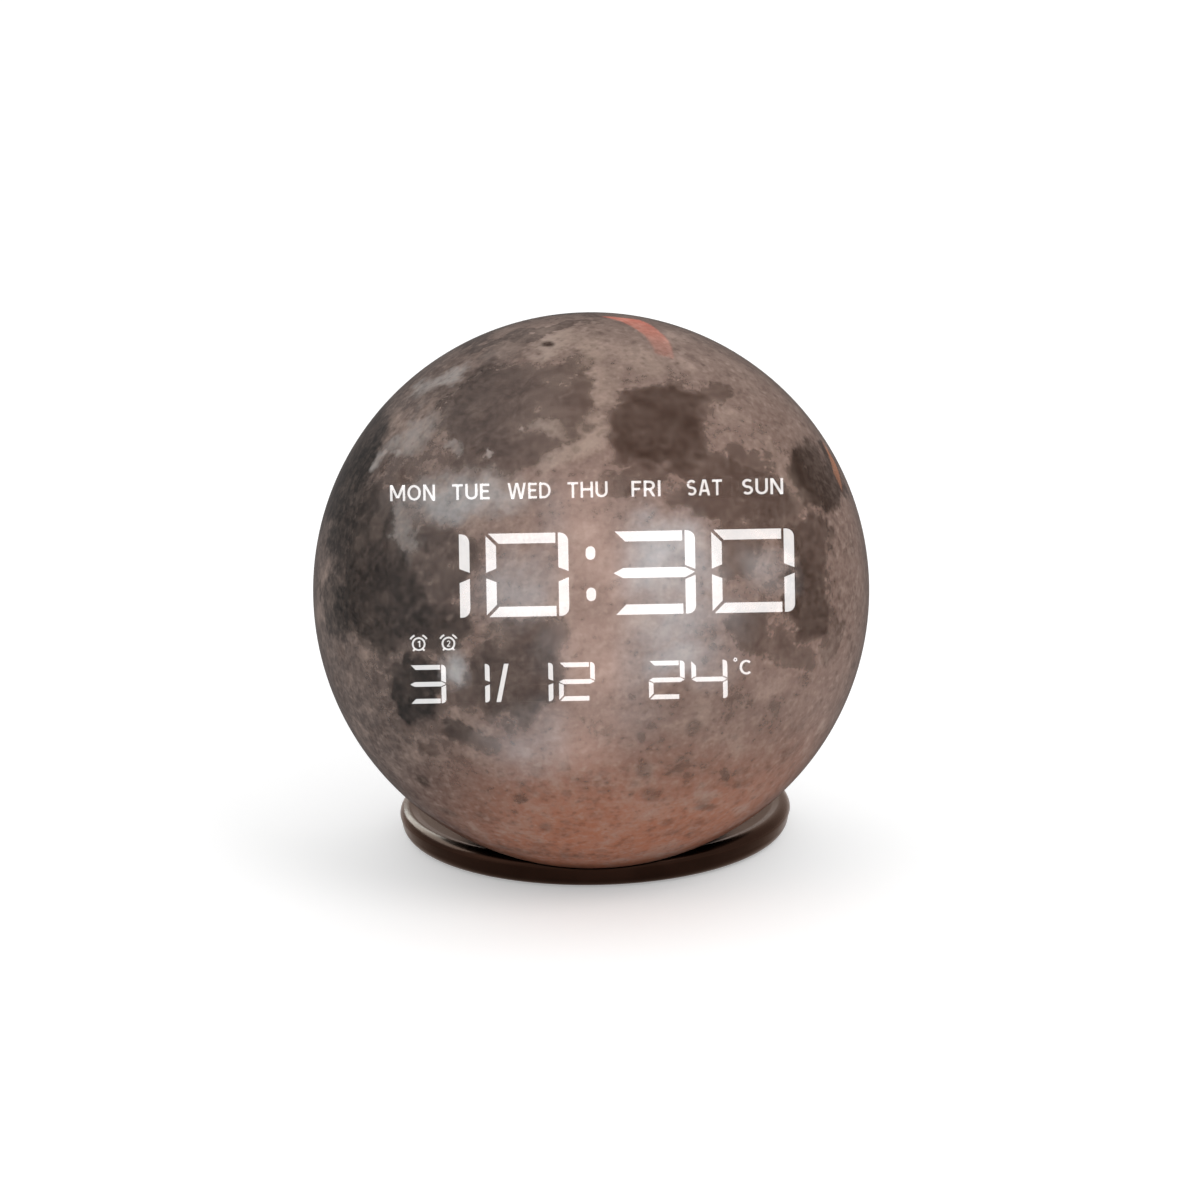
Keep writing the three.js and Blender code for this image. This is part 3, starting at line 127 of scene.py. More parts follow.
VENT = {"x": -11.5, "width": 5, "height": 1.2, "pitch": 2.2, "drop": 26.7, "count": 3}
SCREW_HEAD = 2.2
SCREW_SHANK = 1.1
SCREW_RISE = 1.2
SCREW_LENGTH = 7
SCREW_CIRCLE = 36.6
DISPLAY_FRONT = 27
DISPLAY_FILM = 25.5

# Finer sizes of the pieces drawn here
BALL_SIDES = 192
RING_SIDES = 128
SCREW_SIDES = 48
ON_AXIS = 1e-6
NEARLY_STRAIGHT = 175
CORNER_SHARE = 0.45  # most of an edge that one rounded corner takes up
SEAM_LIP = 0.25
SEAT_WIDTH = 8
CUT_OVER = 1  # reach of a cutter past the face that it opens
MOUTH_CHAMFER = 0.25
SMALL_CHAMFER = 0.15
# Chamfers, inward and along the axis
PANEL_CHAMFER = (0.3, 0.2)
SCREW_TIP = (0.3, 0.4)
GRILLE_EDGE = (0.3, 0.1)
SCREW_EDGE = 0.12
SCREW_CROSS = {"reach": 1.35, "half_width": 0.26, "depth": 0.9}
SCREW_TURN = 20
GRILLE_BEND = 1.6
GRILLE_CHAMFER = 0.12
INK_STROKE = 0.36
INK_SUNK = 0.15
INK_PROUD = 0.065
USB_LIP = 0.1
USB_TONGUE_TIP = (0.5, 0.4, 0.3)  # loss of width and of thickness, length
USB_CONTACTS = {"count": 8, "pitch": 0.62, "width": 0.3, "thickness": 0.06, "proud": 0.01, "setback": 0.5}
USB_BACK = 1
USB_TONGUE_ROOT = 0.2
BASE_RIM_FLAT = 0.4
BASE_RIM_BEND = 1.5
PAD_CHAMFER = 0.25
PAD_GROOVES = (36, 30, 24, 18, 12)
PAD_GROOVE = (0.5, 0.3, 0.3)  # half widths at the mouth and at the floor, depth

BACK_FACE = math.sqrt(BALL_RADIUS**2 - BACK_EDGE_RADIUS**2)
PANEL_INNER = BACK_FACE - PANEL_THICKNESS
PANEL_SEAT = PANEL_INNER - GAP
LEDGE_RADIUS = BACK_EDGE_RADIUS - LEDGE_WIDTH
LIP_BOTTOM = PANEL_INNER - 2 * GAP - GASKET_THICKNESS - SURROUND_THICKNESS
BASKET_FLOOR = LIP_BOTTOM - GAP - BASKET_DEPTH + BASKET_WALL

# Frames: the ball's z looks out of the display, the back's z out of the speaker
WORLD = Matrix.Identity(4)
BALL = Matrix.Translation(Vector(BALL_CENTRE) * MM) @ Matrix.Rotation(math.radians(90 - BALL_TILT), 4, "X")
BACK = BALL @ Matrix.Rotation(math.pi, 4, "Y")


def shifted(place, x, y):
    return place @ Matrix.Translation((x * MM, y * MM, 0))


SPEAKER = shifted(BACK, 0, -SPEAKER_DROP)

# Shapes as (vertices, faces) in millimetres


def on_circle(radius, degrees):
    return radius * math.cos(math.radians(degrees)), radius * math.sin(math.radians(degrees))


def arc(x, y, radius, start, end, steps):
    """Points on an arc from one angle in degrees to another, both ends included."""
    angles = [start + (end - start) * step / steps for step in range(steps + 1)]
    return [(x + a, y + b) for a, b in (on_circle(radius, angle) for angle in angles)]


def circle(radius, sides, x=0, y=0):
    return arc(x, y, radius, 0, 360, sides)[:-1]


def sphere_arc(radius, low, high, steps):
    start = math.degrees(math.asin(low / radius))
    end = math.degrees(math.asin(high / radius))
    return arc(0, 0, radius, start, end, steps)


def stadium(width, height, steps=16):
    reach = (width - height) / 2
    return arc(reach, 0, height / 2, -90, 90, steps) + arc(-reach, 0, height / 2, 90, 270, steps)


def rectangle(width, height, x=0, y=0):
    half_width, half_height = width / 2, height / 2
    return [(x - half_width, y - half_height), (x + half_width, y - half_height),
            (x + half_width, y + half_height), (x - half_width, y + half_height)]


def fillet(points, radius, steps=5):
    """A polyline with its inner corners rounded, each by at most the radius."""
    rounded = [points[0]]
    for before, corner, after in zip(points, points[1:], points[2:]):
        corner = Vector(corner)
        back = Vector(before) - corner
        ahead = Vector(after) - corner
        angle = back.angle(ahead, math.pi)
        if angle > math.radians(NEARLY_STRAIGHT):
            rounded.append(tuple(corner))
            continue
        reach = radius / math.tan(angle / 2)
        reach = min(reach, CORNER_SHARE * back.length, CORNER_SHARE * ahead.length)
        first = corner + back.normalized() * reach
        last = corner + ahead.normalized() * reach
        for step in range(steps + 1):
            share = step / steps
            bend = first * (1 - share) ** 2 + corner * (2 * share * (1 - share)) + last * share**2
            rounded.append(tuple(bend))
    rounded.append(points[-1])
    return rounded


def spread(count, pitch):
    """Places along a line, evenly spaced about its middle."""
    return [(index - (count - 1) / 2) * pitch for index in range(count)]


def rotated(points, degrees):
    cos, sin = on_circle(1, degrees)
    return [(x * cos - y * sin, x * sin + y * cos) for x, y in points]


def bar(length, width, degrees=0, x=0, y=0):
    return [(x + a, y + b) for a, b in rotated(rectangle(length, width), degrees)]


def cross(reach, half_width):
    arm = [(half_width, half_width), (half_width, reach), (-half_width, reach)]
    return [point for turn in (0, 90, 180, 270) for point in rotated(arm, turn)]


def walls(rows, ring=False):
    """Faces from row to row of vertex numbers, and in a ring from the last row to the first."""
    faces = []
    following = rows[1:] + rows[:1] if ring else rows[1:]
    for low, high in zip(rows, following):
        for side in range(len(low)):
            after = (side + 1) % len(low)
            face = list(dict.fromkeys([low[side], low[after], high[after], high[side]]))
            if len(face) > 2:
                faces.append(face)
    return faces


def lathe(outline, sides, ring=False):
    """Turns (radius, height) points about z. The outline of a ring is closed."""
    vertices, rows = [], []
    for radius, height in outline:
        start = len(vertices)
        if radius < ON_AXIS:
            rows.append([start] * sides)
            vertices.append((0, 0, height))
        else:
            rows.append(range(start, start + sides))
            vertices.extend((x, y, height) for x, y in circle(radius, sides))
    return vertices, walls(rows, ring)


def raised(layers):
    """The vertices of layers of (outline, height)."""
    return [(x, y, height) for outline, height in layers for x, y in outline]


def rows_of(vertices, count):
    return [range(start, start + count) for start in range(0, len(vertices), count)]


def skinned(vertices, count):
    """A closed solid through loops of vertices, each with the same count of points."""
    rows = rows_of(vertices, count)
    return vertices, [list(rows[0])[::-1], *walls(rows), list(rows[-1])]


def loft(*layers):
    """A closed solid through layers of (outline, height) with equal numbers of points."""
    return skinned(raised(layers), len(layers[0][0]))


def sector(outline, start, end, steps):
    """A closed outline of (radius, height) points turned from one angle to another."""
    vertices = []
    for step in range(steps + 1):
        angle = start + (end - start) * step / steps
        vertices.extend((*on_circle(radius, angle), height) for radius, height in outline)
    return skinned(vertices, len(outline))


def prisms(outlines, bottom, top):
    return together(*[loft((outline, bottom), (outline, top)) for outline in outlines])


def band(outer, inner, bottom, top):
    """A closed frame between two outlines with equal numbers of points."""
    vertices = raised([(outer, bottom), (outer, top), (inner, top), (inner, bottom)])
    return vertices, walls(rows_of(vertices, len(outer)), ring=True)


def moved(part, x=0, y=0, z=0):
    vertices, faces = part
    return [(a + x, b + y, c + z) for a, b, c in vertices], faces


def together(*parts):
    vertices, faces = [], []
    for part_vertices, part_faces in parts:
        start = len(vertices)
        vertices.extend(part_vertices)
        faces.extend([corner + start for corner in face] for face in part_faces)
    return vertices, faces


# Objects


def mesh_of(name, part):
    vertices, faces = part
    mesh = bpy.data.meshes.new(name)
    mesh.from_pydata([Vector(vertex) * MM for vertex in vertices], [], faces)
    work = bmesh.new()
    work.from_mesh(mesh)
    bmesh.ops.recalc_face_normals(work, faces=work.faces)
    work.to_mesh(mesh)
    work.free()
    return mesh


def object_of(name, part, place, *cutters):
    """An object with its place in its vertices. The cutters keep clear of each other."""
    item = bpy.data.objects.new(name, mesh_of(name, part))
    bpy.context.scene.collection.objects.link(item)
    if cutters:
        carve(item, together(*cutters))
    item.data.transform(place)
    return item


def carve(item, part):
    cutter = object_of("cutter", part, WORLD)
    modifier = item.modifiers.new("carve", "BOOLEAN")
    modifier.operation = "DIFFERENCE"
    modifier.solver = "EXACT"
    modifier.object = cutter
    depsgraph = bpy.context.evaluated_depsgraph_get()
    item.data = bpy.data.meshes.new_from_object(item.evaluated_get(depsgraph))
    item.modifiers.clear()
    bpy.data.objects.remove(cutter)


def dress(item, slot, look=None, body="case", replaces=(), sharp=35):
    """Gives a piece the look of its material slot, or another look, and ties it to its body."""
    item.data.materials.clear()
    item.data.materials.append(look or SLOT_LOOKS[slot])
    item.data.shade_smooth()
    item.data.set_sharp_from_angle(angle=math.radians(sharp))
    if body:
        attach(item, body)
    if replaces:
        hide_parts(*replaces)
    return item


def piece(name, part, place, slot, *cutters, **settings):
    return dress(object_of(name, part, place, *cutters), slot, **settings)


# Materials


class Graph:
    """The nodes of a material or of the world, built from expressions."""

    def __init__(self, name, owners=bpy.data.materials, output="ShaderNodeOutputMaterial"):
        self.owner = owners.new(name)
        self.owner.use_nodes = True
        self.tree = self.owner.node_tree
        self.tree.nodes.clear()
        self.output = self.add(output)

    def add(self, kind, inputs=(), **settings):
        """A new node. Its inputs pair a socket's name or number with a value or with another socket."""
        node = self.tree.nodes.new(kind)
        for key, value in settings.items():
            setattr(node, key, value)
        for key, value in dict(inputs).items():
            self.put(value, node.inputs[key])
        return node

    def put(self, value, socket):
        if isinstance(value, bpy.types.NodeSocket):
            self.tree.links.new(value, socket)
        else:
            socket.default_value = value

    def math(self, operation, *values):
        return self.add("ShaderNodeMath", enumerate(values), operation=operation).outputs[0]

    def times(self, first, second):
        return self.math("MULTIPLY", first, second)

    def vector(self, operation, *values):
        node = self.add("ShaderNodeVectorMath", enumerate(values), operation=operation)
        return node.outputs["Value" if operation == "LENGTH" else "Vector"]

    def point(self, unit=MM):
        """The place on the piece, in its own frame and in the given unit."""
        coordinates = self.add("ShaderNodeTexCoord").outputs["Object"]
        return self.vector("MULTIPLY", coordinates, (1 / unit,) * 3)

    def ball_point(self):
        """The place in the ball's frame, in ball radii."""
        centre = [value / BALL_RADIUS for value in BALL_CENTRE]
        turn = {"Vector": self.point(BALL_RADIUS * MM), "Center": centre,
                "Angle": math.radians(BALL_TILT - 90)}
        node = self.add("ShaderNodeVectorRotate", turn, rotation_type="X_AXIS")
        return self.vector("SUBTRACT", node.outputs[0], centre)

    def split(self, vector):
        return self.add("ShaderNodeSeparateXYZ", {0: vector}).outputs[:]

    def noise(self, scale, detail=3, roughness=0.5, point=None, output="Fac"):
        if point is None:
            point = self.point()
        inputs = {"Vector": point, "Scale": scale, "Detail": detail, "Roughness": roughness}
        return self.add("ShaderNodeTexNoise", inputs).outputs[output]

    def cells(self, point, scale):
        """Scattered cells: the distance from the middle of a cell and a number that is the cell's own."""
        node = self.add("ShaderNodeTexVoronoi", {"Vector": point, "Scale": scale})
        return node.outputs["Distance"], self.split(node.outputs["Color"])[0]

    def wave(self, axis, pitch):
        """A sine along one axis of the piece's own frame."""
        return self.math("SINE", self.times(self.split(self.point())[axis], 2 * math.pi / pitch))

    def step(self, value, low, high, start=0, end=1):
        """A smooth step from start at low to end at high."""
        values = enumerate((value, low, high, start, end))
        return self.add("ShaderNodeMapRange", values, interpolation_type="SMOOTHSTEP").outputs[0]

    def mix(self, share, first, second):
        return self.add("ShaderNodeMix", {0: share, 6: first, 7: second}, data_type="RGBA").outputs[2]

    def over(self, colour, *layers):
        """A colour under layers, each a pair of its share and its sRGB values."""
        for share, tint in layers:
            colour = self.mix(share, colour, srgb(*tint))
        return colour

    def clouded(self, dark, pale):
        """A tone that drifts between two sRGB colours."""
        return self.over(srgb(*dark), (self.step(self.noise(0.08, 4), 0.35, 0.68), pale))

    def gloss(self, texture, low, high):
        """A roughness that follows a texture from low to high."""
        return self.step(texture, 0.3, 0.7, low, high)

    def bump(self, height, distance):
        inputs = {"Height": height, "Distance": distance * MM, "Strength": 1}
        return self.add("ShaderNodeBump", inputs).outputs["Normal"]

    def directly_seen(self):
        """One on rays from the camera, also by way of a mirror or a clear piece, and zero on others."""
        rays = self.add("ShaderNodeLightPath").outputs
        onward = self.math("MAXIMUM", rays["Is Glossy Ray"], rays["Is Transmission Ray"])
        return self.math("MAXIMUM", rays["Is Camera Ray"], onward)

    def only_seen(self):
        """Keeps the material out of the search for lamps and its shadow whole."""
        self.owner.cycles.emission_sampling = "NONE"
        self.owner.use_transparent_shadow = False

    def show(self, shader):
        self.put(shader.outputs[0], self.output.inputs["Surface"])
        return self.owner

    def principled(self, **sockets):
        inputs = {name.replace("_", " "): value for name, value in sockets.items()}
        return self.show(self.add("ShaderNodeBsdfPrincipled", inputs))


def srgb(red, green, blue):
    """A colour given by its sRGB values from 0 to 255."""
    def linear(value):
        value /= 255
        return value / 12.92 if value <= 0.04045 else ((value + 0.055) / 1.055) ** 2.4
    return (linear(red), linear(green), linear(blue), 1)


def moulded(name, dark, pale, roughness, grain=0.02):
    """Moulded plastic with an eroded grain and slight changes of tone and gloss."""
    graph = Graph(name)
    fine = graph.noise(2.6, 2)
    return graph.principled(Base_Color=graph.clouded(dark, pale), Normal=graph.bump(fine, grain),
                            Roughness=graph.gloss(fine, roughness - 0.05, roughness + 0.06))


def lacquered(name, dark, pale):
    """Smooth dark plastic whose gloss grows towards grazing views."""
    graph = Graph(name)
    facing = graph.add("ShaderNodeLayerWeight").outputs["Facing"]
    return graph.principled(Base_Color=graph.clouded(dark, pale), Specular_Tint=(1, 0.88, 0.78, 1),
                            Roughness=graph.gloss(graph.noise(0.5), 0.15, 0.19),
                            Specular_IOR_Level=graph.step(facing, 0.45, 0.85, 0.12, 1.0))


def pearl(name, dark, pale, edge):
    """Dark lacquer with a metallic base that takes the colour of its edge at low angles."""
    graph = Graph(name)
    return graph.principled(Base_Color=graph.clouded(dark, pale), Metallic=1.0, Specular_Tint=edge,
                            Roughness=graph.gloss(graph.noise(0.5), 0.2, 0.26))


# Moon print, drawn as seen from the front, in ball radii. Each row is a soft ellipse: x, y, half width,
# half height, turn in degrees and strength.
VIEW_DISTANCE = 11.7
PLAINS = (
    (-0.27, 0.66, 0.29, 0.2, 18, 0.62),
    (-0.06, 0.76, 0.09, 0.1, 0, 0.7),
    (-0.32, 0.5, 0.2, 0.09, 10, 0.5),
    (0.27, 0.59, 0.2, 0.155, -8, 1.0),
    (0.45, 0.7, 0.06, 0.05, -30, 0.6),
    (0.4, 0.45, 0.1, 0.06, -10, 0.8),
    (0.58, 0.46, 0.09, 0.04, -20, 0.55),
    (0.52, 0.33, 0.24, 0.1, -6, 0.75),
    (0.53, 0.13, 0.1, 0.13, 0, 0.6),
    (0.82, 0.39, 0.085, 0.14, 20, 1.0),
    (0.79, 0.17, 0.12, 0.08, -42, 0.75),
    (0.79, -0.03, 0.09, 0.16, 0, 0.9),
    (0.85, -0.17, 0.05, 0.1, 10, 0.5),
    (0.58, -0.17, 0.09, 0.08, 0, 0.7),
    (0.72, -0.22, 0.09, 0.05, -40, 0.45),
    (-0.2, 0.945, 0.3, 0.022, 8, 0.6),
    (-0.3, 0.885, 0.1, 0.03, 16, 0.4),
    (-0.87, 0.48, 0.12, 0.25, -25, 1.0),
    (-0.82, 0.2, 0.15, 0.2, 0, 0.85),
    (-0.74, -0.03, 0.2, 0.17, 0, 0.95),
    (-0.56, 0.12, 0.12, 0.14, 0, 0.6),
    (-0.93, -0.04, 0.05, 0.12, 8, 0.7),
    (-0.56, -0.11, 0.14, 0.1, 0, 0.75),
    (-0.65, -0.35, 0.11, 0.14, 10, 1.0),
    (-0.27, -0.3, 0.17, 0.15, 10, 0.75),
    (-0.22, -0.17, 0.16, 0.09, 0, 0.65),
    (-0.43, -0.36, 0.06, 0.08, 0, 0.5),
    (-0.47, -0.5, 0.07, 0.06, -20, 0.7),
    (-0.4, -0.55, 0.09, 0.05, -15, 0.4),
    (0.16, 0.4, 0.14, 0.06, 10, 0.55),
    (0.42, -0.56, 0.34, 0.2, 10, 0.16),
)
PALE_GROUND = (
    (-0.53, 0.77, 0.14, 0.045, 40, 1.0),
    (-0.36, 0.85, 0.14, 0.03, 18, 0.12),
    (-0.1, 0.905, 0.11, 0.03, 4, 0.8),
    (0.01, 0.86, 0.05, 0.08, 0, 0.6),
    (0.06, 0.72, 0.06, 0.1, 0, 0.4),
    (-0.07, 0.53, 0.16, 0.05, 40, 0.85),
    (0.0, 0.6, 0.08, 0.07, 30, 0.6),
    (-0.15, 0.585, 0.06, 0.04, 0, 0.6),
    (-0.735, 0.485, 0.05, 0.03, 35, 1.0),
    (-0.63, 0.56, 0.13, 0.05, 38, 0.6),
    (-0.66, 0.22, 0.05, 0.12, 5, 0.6),
    (-0.4, 0.35, 0.27, 0.09, 4, 0.62),
    (-0.5, 0.5, 0.03, 0.03, 0, 0.6),
    (-0.39, 0.48, 0.022, 0.022, 0, 0.9),
    (-0.25, 0.59, 0.02, 0.02, 0, 0.6),
    (-0.51, -0.26, 0.06, 0.06, 30, 0.7),
    (0.7, 0.42, 0.05, 0.16, 35, 0.28),
    (0.2, 0.84, 0.1, 0.06, -20, 0.35),
)
SPOTS = (
    (-0.14, 0.892, 0.028, 0.012, 0, 1.0),
    (-0.62, -0.675, 0.035, 0.018, -35, 0.9),
    (-0.6, -0.565, 0.05, 0.018, -35, 0.6),
    (-0.27, -0.745, 0.03, 0.022, 0, 0.5),
    (-0.53, -0.79, 0.05, 0.012, -25, 0.5),
    (0.36, -0.5, 0.03, 0.04, -30, 0.45),
    (0.17, -0.53, 0.02, 0.025, 0, 0.45),
    (0.18, -0.65, 0.035, 0.04, 20, 0.45),
    (0.47, -0.67, 0.02, 0.025, 0, 0.5),
    (0.2, -0.74, 0.04, 0.03, 0, 0.4),
    (0.4, -0.79, 0.05, 0.012, 5, 0.45),
    (0.65, -0.43, 0.025, 0.03, 0, 0.4),
    (-0.18, -0.85, 0.03, 0.02, 0, 0.4),
    (0.0, 0.585, 0.03, 0.02, 0, 0.6),
)
# Light of the display that spreads in the print
GLOWS = (
    (0.24, 0.07, 0.28, 0.24, 0, 1.0),
    (0.3, -0.12, 0.34, 0.17, 0, 0.64),
    (0.62, 0.07, 0.14, 0.13, 0, 0.35),
    (0.33, -0.25, 0.24, 0.14, 0, 0.6),
    (-0.22, 0.03, 0.26, 0.17, 0, 0.45),
    (-0.42, 0.33, 0.32, 0.09, 4, 0.35),
    (0.0, 0.16, 0.22, 0.34, 0, 0.37),
    (0.03, -0.25, 0.26, 0.22, 0, 0.43),
    (-0.1, -0.52, 0.36, 0.18, 8, 0.42),
    (-0.5, -0.27, 0.08, 0.1, 20, 0.35),
)
PRINT_ALPHA = 0.62
PRINT_GAIN = 0.88
HAZE_GAIN = 0.72
# Scattered craters: how close they lie, the share of places that have one, and how dark they are
CRATERS = ((9, 0.3, 0.3), (17, 0.35, 0.3), (33, 0.3, 0.26))


def patches(graph, point, table, inner, outer):
    """The strongest of several soft ellipses."""
    total = 0.0
    for x, y, half_width, half_height, degrees, strength in table:
        ellipse = {"Vector": point, "Location": (x, y, 0), "Rotation": (0, 0, math.radians(degrees)),
                   "Scale": (half_width, half_height, 1)}
        local = graph.add("ShaderNodeMapping", ellipse, vector_type="TEXTURE")
        distance = graph.vector("LENGTH", local.outputs[0])
        total = graph.math("MAXIMUM", graph.step(distance, outer, inner, 0, strength), total)
    return total


def craters(graph, point, scale, share):
    """Dark bowls scattered over the ground."""
    distance, chance = graph.cells(point, scale)
    size = graph.math("MULTIPLY_ADD", chance, 0.3 / share, 0.12)
    bowl = graph.step(graph.math("DIVIDE", distance, size), 1.1, 0.35)
    return graph.times(bowl, graph.math("LESS_THAN", chance, share))


def moon_relief(graph, point):
    """Slopes of hilly ground lit from the upper left: above zero on the lit side, below on the other."""
    towards_light = graph.vector("ADD", point, (-0.009, 0.011, 0))
    here, there = [graph.noise(20, 2, 0.6, place) for place in (point, towards_light)]
    return graph.math("SUBTRACT", here, there)


def moon_ground(graph, x, y, mottle):
    """The plain tone of the print: cool on the left, painted warm bounce light at the bottom, dark on the
    right, mottled.
    """
    east = graph.times(graph.step(x, 0.3, 0.75, 0, 0.5), graph.step(y, -0.4, 0.0))
    return graph.over(srgb(134, 111, 102),
                      # Painted warm bounce light: the print turns warmer towards the bottom, as if lit from a
                      # warm surface below.
                      (graph.step(y, -0.42, -1.0), (176, 114, 88)),
                      (graph.step(y, 0.3, 0.95, 0, 0.6), (116, 100, 92)),
                      (graph.step(x, -0.1, -0.75, 0, 0.85), (86, 78, 75)),
                      (graph.step(mottle, 0.48, 0.75, 0, 0.6), (176, 154, 142)),
                      (graph.step(mottle, 0.5, 0.25, 0, 0.65), (84, 68, 61)),
                      (east, (98, 78, 69)))


def moon_colour(graph, point, seen, wander):
    """The colours of the print, from its broad plains to its fine grain."""
    x, y, _ = graph.split(seen)
    ragged = graph.vector("ADD", seen, wander)
    mottle = graph.noise(6, 5, 0.66, point)
    plains = graph.times(patches(graph, ragged, PLAINS, 0.8, 1.14), graph.step(mottle, 0.3, 0.7, 1, 0.84))
    pale = graph.times(patches(graph, ragged, PALE_GROUND, 0.3, 1.25), graph.step(mottle, 0.2, 0.62, 0.35, 1))
    basalt = graph.over(srgb(47, 44, 43), (graph.step(x, -0.25, 0.1), (64, 47, 39)),
                        (graph.step(x, 0.45, 0.75), (50, 36, 29)),
                        (graph.step(x, -0.68, -0.85), (31, 29, 28)))
    dust = graph.over(srgb(160, 154, 150), (graph.step(x, -0.5, 0.0), (164, 144, 131)))
    colour = graph.mix(pale, graph.mix(plains, moon_ground(graph, x, y, mottle), basalt), dust)
    bare = graph.math("MULTIPLY_ADD", plains, -0.6, 1.0)
    rough = graph.vector("ADD", point, graph.vector("MULTIPLY", wander, (0.15, 0.15, 0)))
    for scale, share, strength in CRATERS:
        bowl = graph.times(craters(graph, rough, scale, share), bare)
        colour = graph.over(colour, (graph.times(bowl, strength), (66, 50, 44)))
    relief = graph.times(moon_relief(graph, point), bare)
    fine = graph.step(graph.noise(34, 3, 0.6, point), 0.35, 0.75, 0, 0.24)
    return graph.over(colour, (graph.step(relief, 0.02, 0.22, 0, 0.22), (188, 166, 154)),
                      (graph.step(relief, -0.02, -0.22, 0, 0.3), (62, 48, 42)),
                      (patches(graph, seen, SPOTS, 0.4, 1.25), (62, 48, 42)),
                      (graph.times(fine, bare), (176, 154, 142)),
                      # Painted shade: the print turns dark red-brown towards the dome's edge, where its face
                      # turns away from the front.
                      (graph.step(graph.split(point)[2], 0.42, 0.05, 0, 0.78), (50, 34, 28)))


def moon_print():
    """The print, thinner over the display, with the display's light spread in it."""
    graph = Graph("moon_print")
    graph.only_seen()
    point = graph.ball_point()
    depth = graph.split(point)[2]
    nearness = graph.math("MULTIPLY_ADD", depth, -1 / VIEW_DISTANCE, 1.0)
    seen = graph.vector("DIVIDE", graph.vector("MULTIPLY", point, (1, 1, 0)), nearness)
    wander = graph.vector("SUBTRACT", graph.noise(4.5, 4, 0.66, point, "Color"), (0.5, 0.5, 0.5))
    wander = graph.vector("MULTIPLY", wander, (0.26, 0.26, 0))
    inside = graph.add("ShaderNodeNewGeometry").outputs["Backfacing"]
    outside = graph.math("SUBTRACT", 1.0, inside)
    alpha = graph.step(depth, 0.48, 0.6, 1, PRINT_ALPHA)
    gain = graph.times(graph.math("DIVIDE", PRINT_GAIN, alpha), outside)
    cloud = graph.step(graph.noise(3.4, 4, 0.55, point), 0.3, 0.66, 0.5, 1)
    haze = graph.times(patches(graph, graph.vector("ADD", seen, wander), GLOWS, 0.0, 1.15), cloud)
    aside = graph.step(graph.math("ABSOLUTE", graph.split(seen)[0]), 0.04, 0.2)
    colour = graph.vector("MULTIPLY", moon_colour(graph, point, seen, wander), gain)
    return graph.principled(Base_Color=colour, Alpha=graph.math("MAXIMUM", alpha, inside), Roughness=0.6,
                            Specular_IOR_Level=0.0, Coat_Weight=0.1, Coat_Roughness=0.06,
                            Emission_Color=graph.over(srgb(255, 220, 206), (aside, (216, 236, 246))),
                            Emission_Strength=graph.times(graph.times(haze, outside), HAZE_GAIN))


def clear_inside():
    graph = Graph("dome_inside")
    graph.only_seen()
    return graph.principled(Base_Color=(0.02, 0.02, 0.02, 1), Alpha=0.03, Specular_IOR_Level=0.1,
                            Roughness=graph.gloss(graph.noise(0.4), 0.12, 0.2))


def lit_sign():
    graph = Graph("lit_sign")
    graph.only_seen()
    tone = graph.mix(graph.noise(0.5), (1, 0.985, 0.97, 1), (0.97, 0.985, 1, 1))
    return graph.principled(Base_Color=(0.8, 0.8, 0.8, 1), Roughness=0.5, Emission_Color=tone,
                            Emission_Strength=2.0)


def brushed(name, colour, roughness):
    graph = Graph(name)
    lines = graph.noise(1.0, 2, point=graph.vector("MULTIPLY", graph.point(), (0.6, 14, 0.6)))
    return graph.principled(Base_Color=srgb(*colour), Metallic=1.0, Normal=graph.bump(lines, 0.004),
                            Roughness=graph.gloss(lines, roughness - 0.08, roughness + 0.08))


def textured(graph, texture, edges, first, second, relief, **sockets):
    """A material whose two sRGB colours and whose relief follow one texture."""
    colour = graph.over(srgb(*first), (graph.step(texture, *edges), second))
    return graph.principled(Base_Color=colour, Normal=graph.bump(texture, relief), **sockets)


def striped(name, first, second, pitch, roughness, axis=0, metallic=0.0):
    """Even stripes across one axis, such as the tracks of a cable or the turns of a winding."""
    graph = Graph(name)
    return textured(graph, graph.wave(axis, pitch), (-0.3, 0.3), first, second, 0.03, Metallic=metallic,
                    Roughness=roughness)


def woven(name, first, second, pitch):
    graph = Graph(name)
    weave = graph.times(graph.wave(0, pitch), graph.wave(1, pitch))
    return textured(graph, weave, (-0.5, 0.5), first, second, 0.05, Roughness=0.85)


def grainy(name, dark, pale, scale, roughness, grain, metallic=0.0):
    graph = Graph(name)
    specks = graph.noise(scale, 5, 0.65)
    return textured(graph, specks, (0.35, 0.65), dark, pale, grain, Metallic=metallic,
                    Roughness=graph.gloss(specks, roughness + 0.06, roughness - 0.06))


def board_green():
    graph = Graph("circuit_board")
    squares, _ = graph.cells(graph.point(), 0.22)
    tracks = graph.step(graph.math("FRACT", graph.times(squares, 5)), 0.4, 0.5)
    colour = graph.over(srgb(16, 62, 38), (tracks, (26, 88, 54)))
    return graph.principled(Base_Color=colour, Roughness=0.42, Normal=graph.bump(tracks, 0.03))


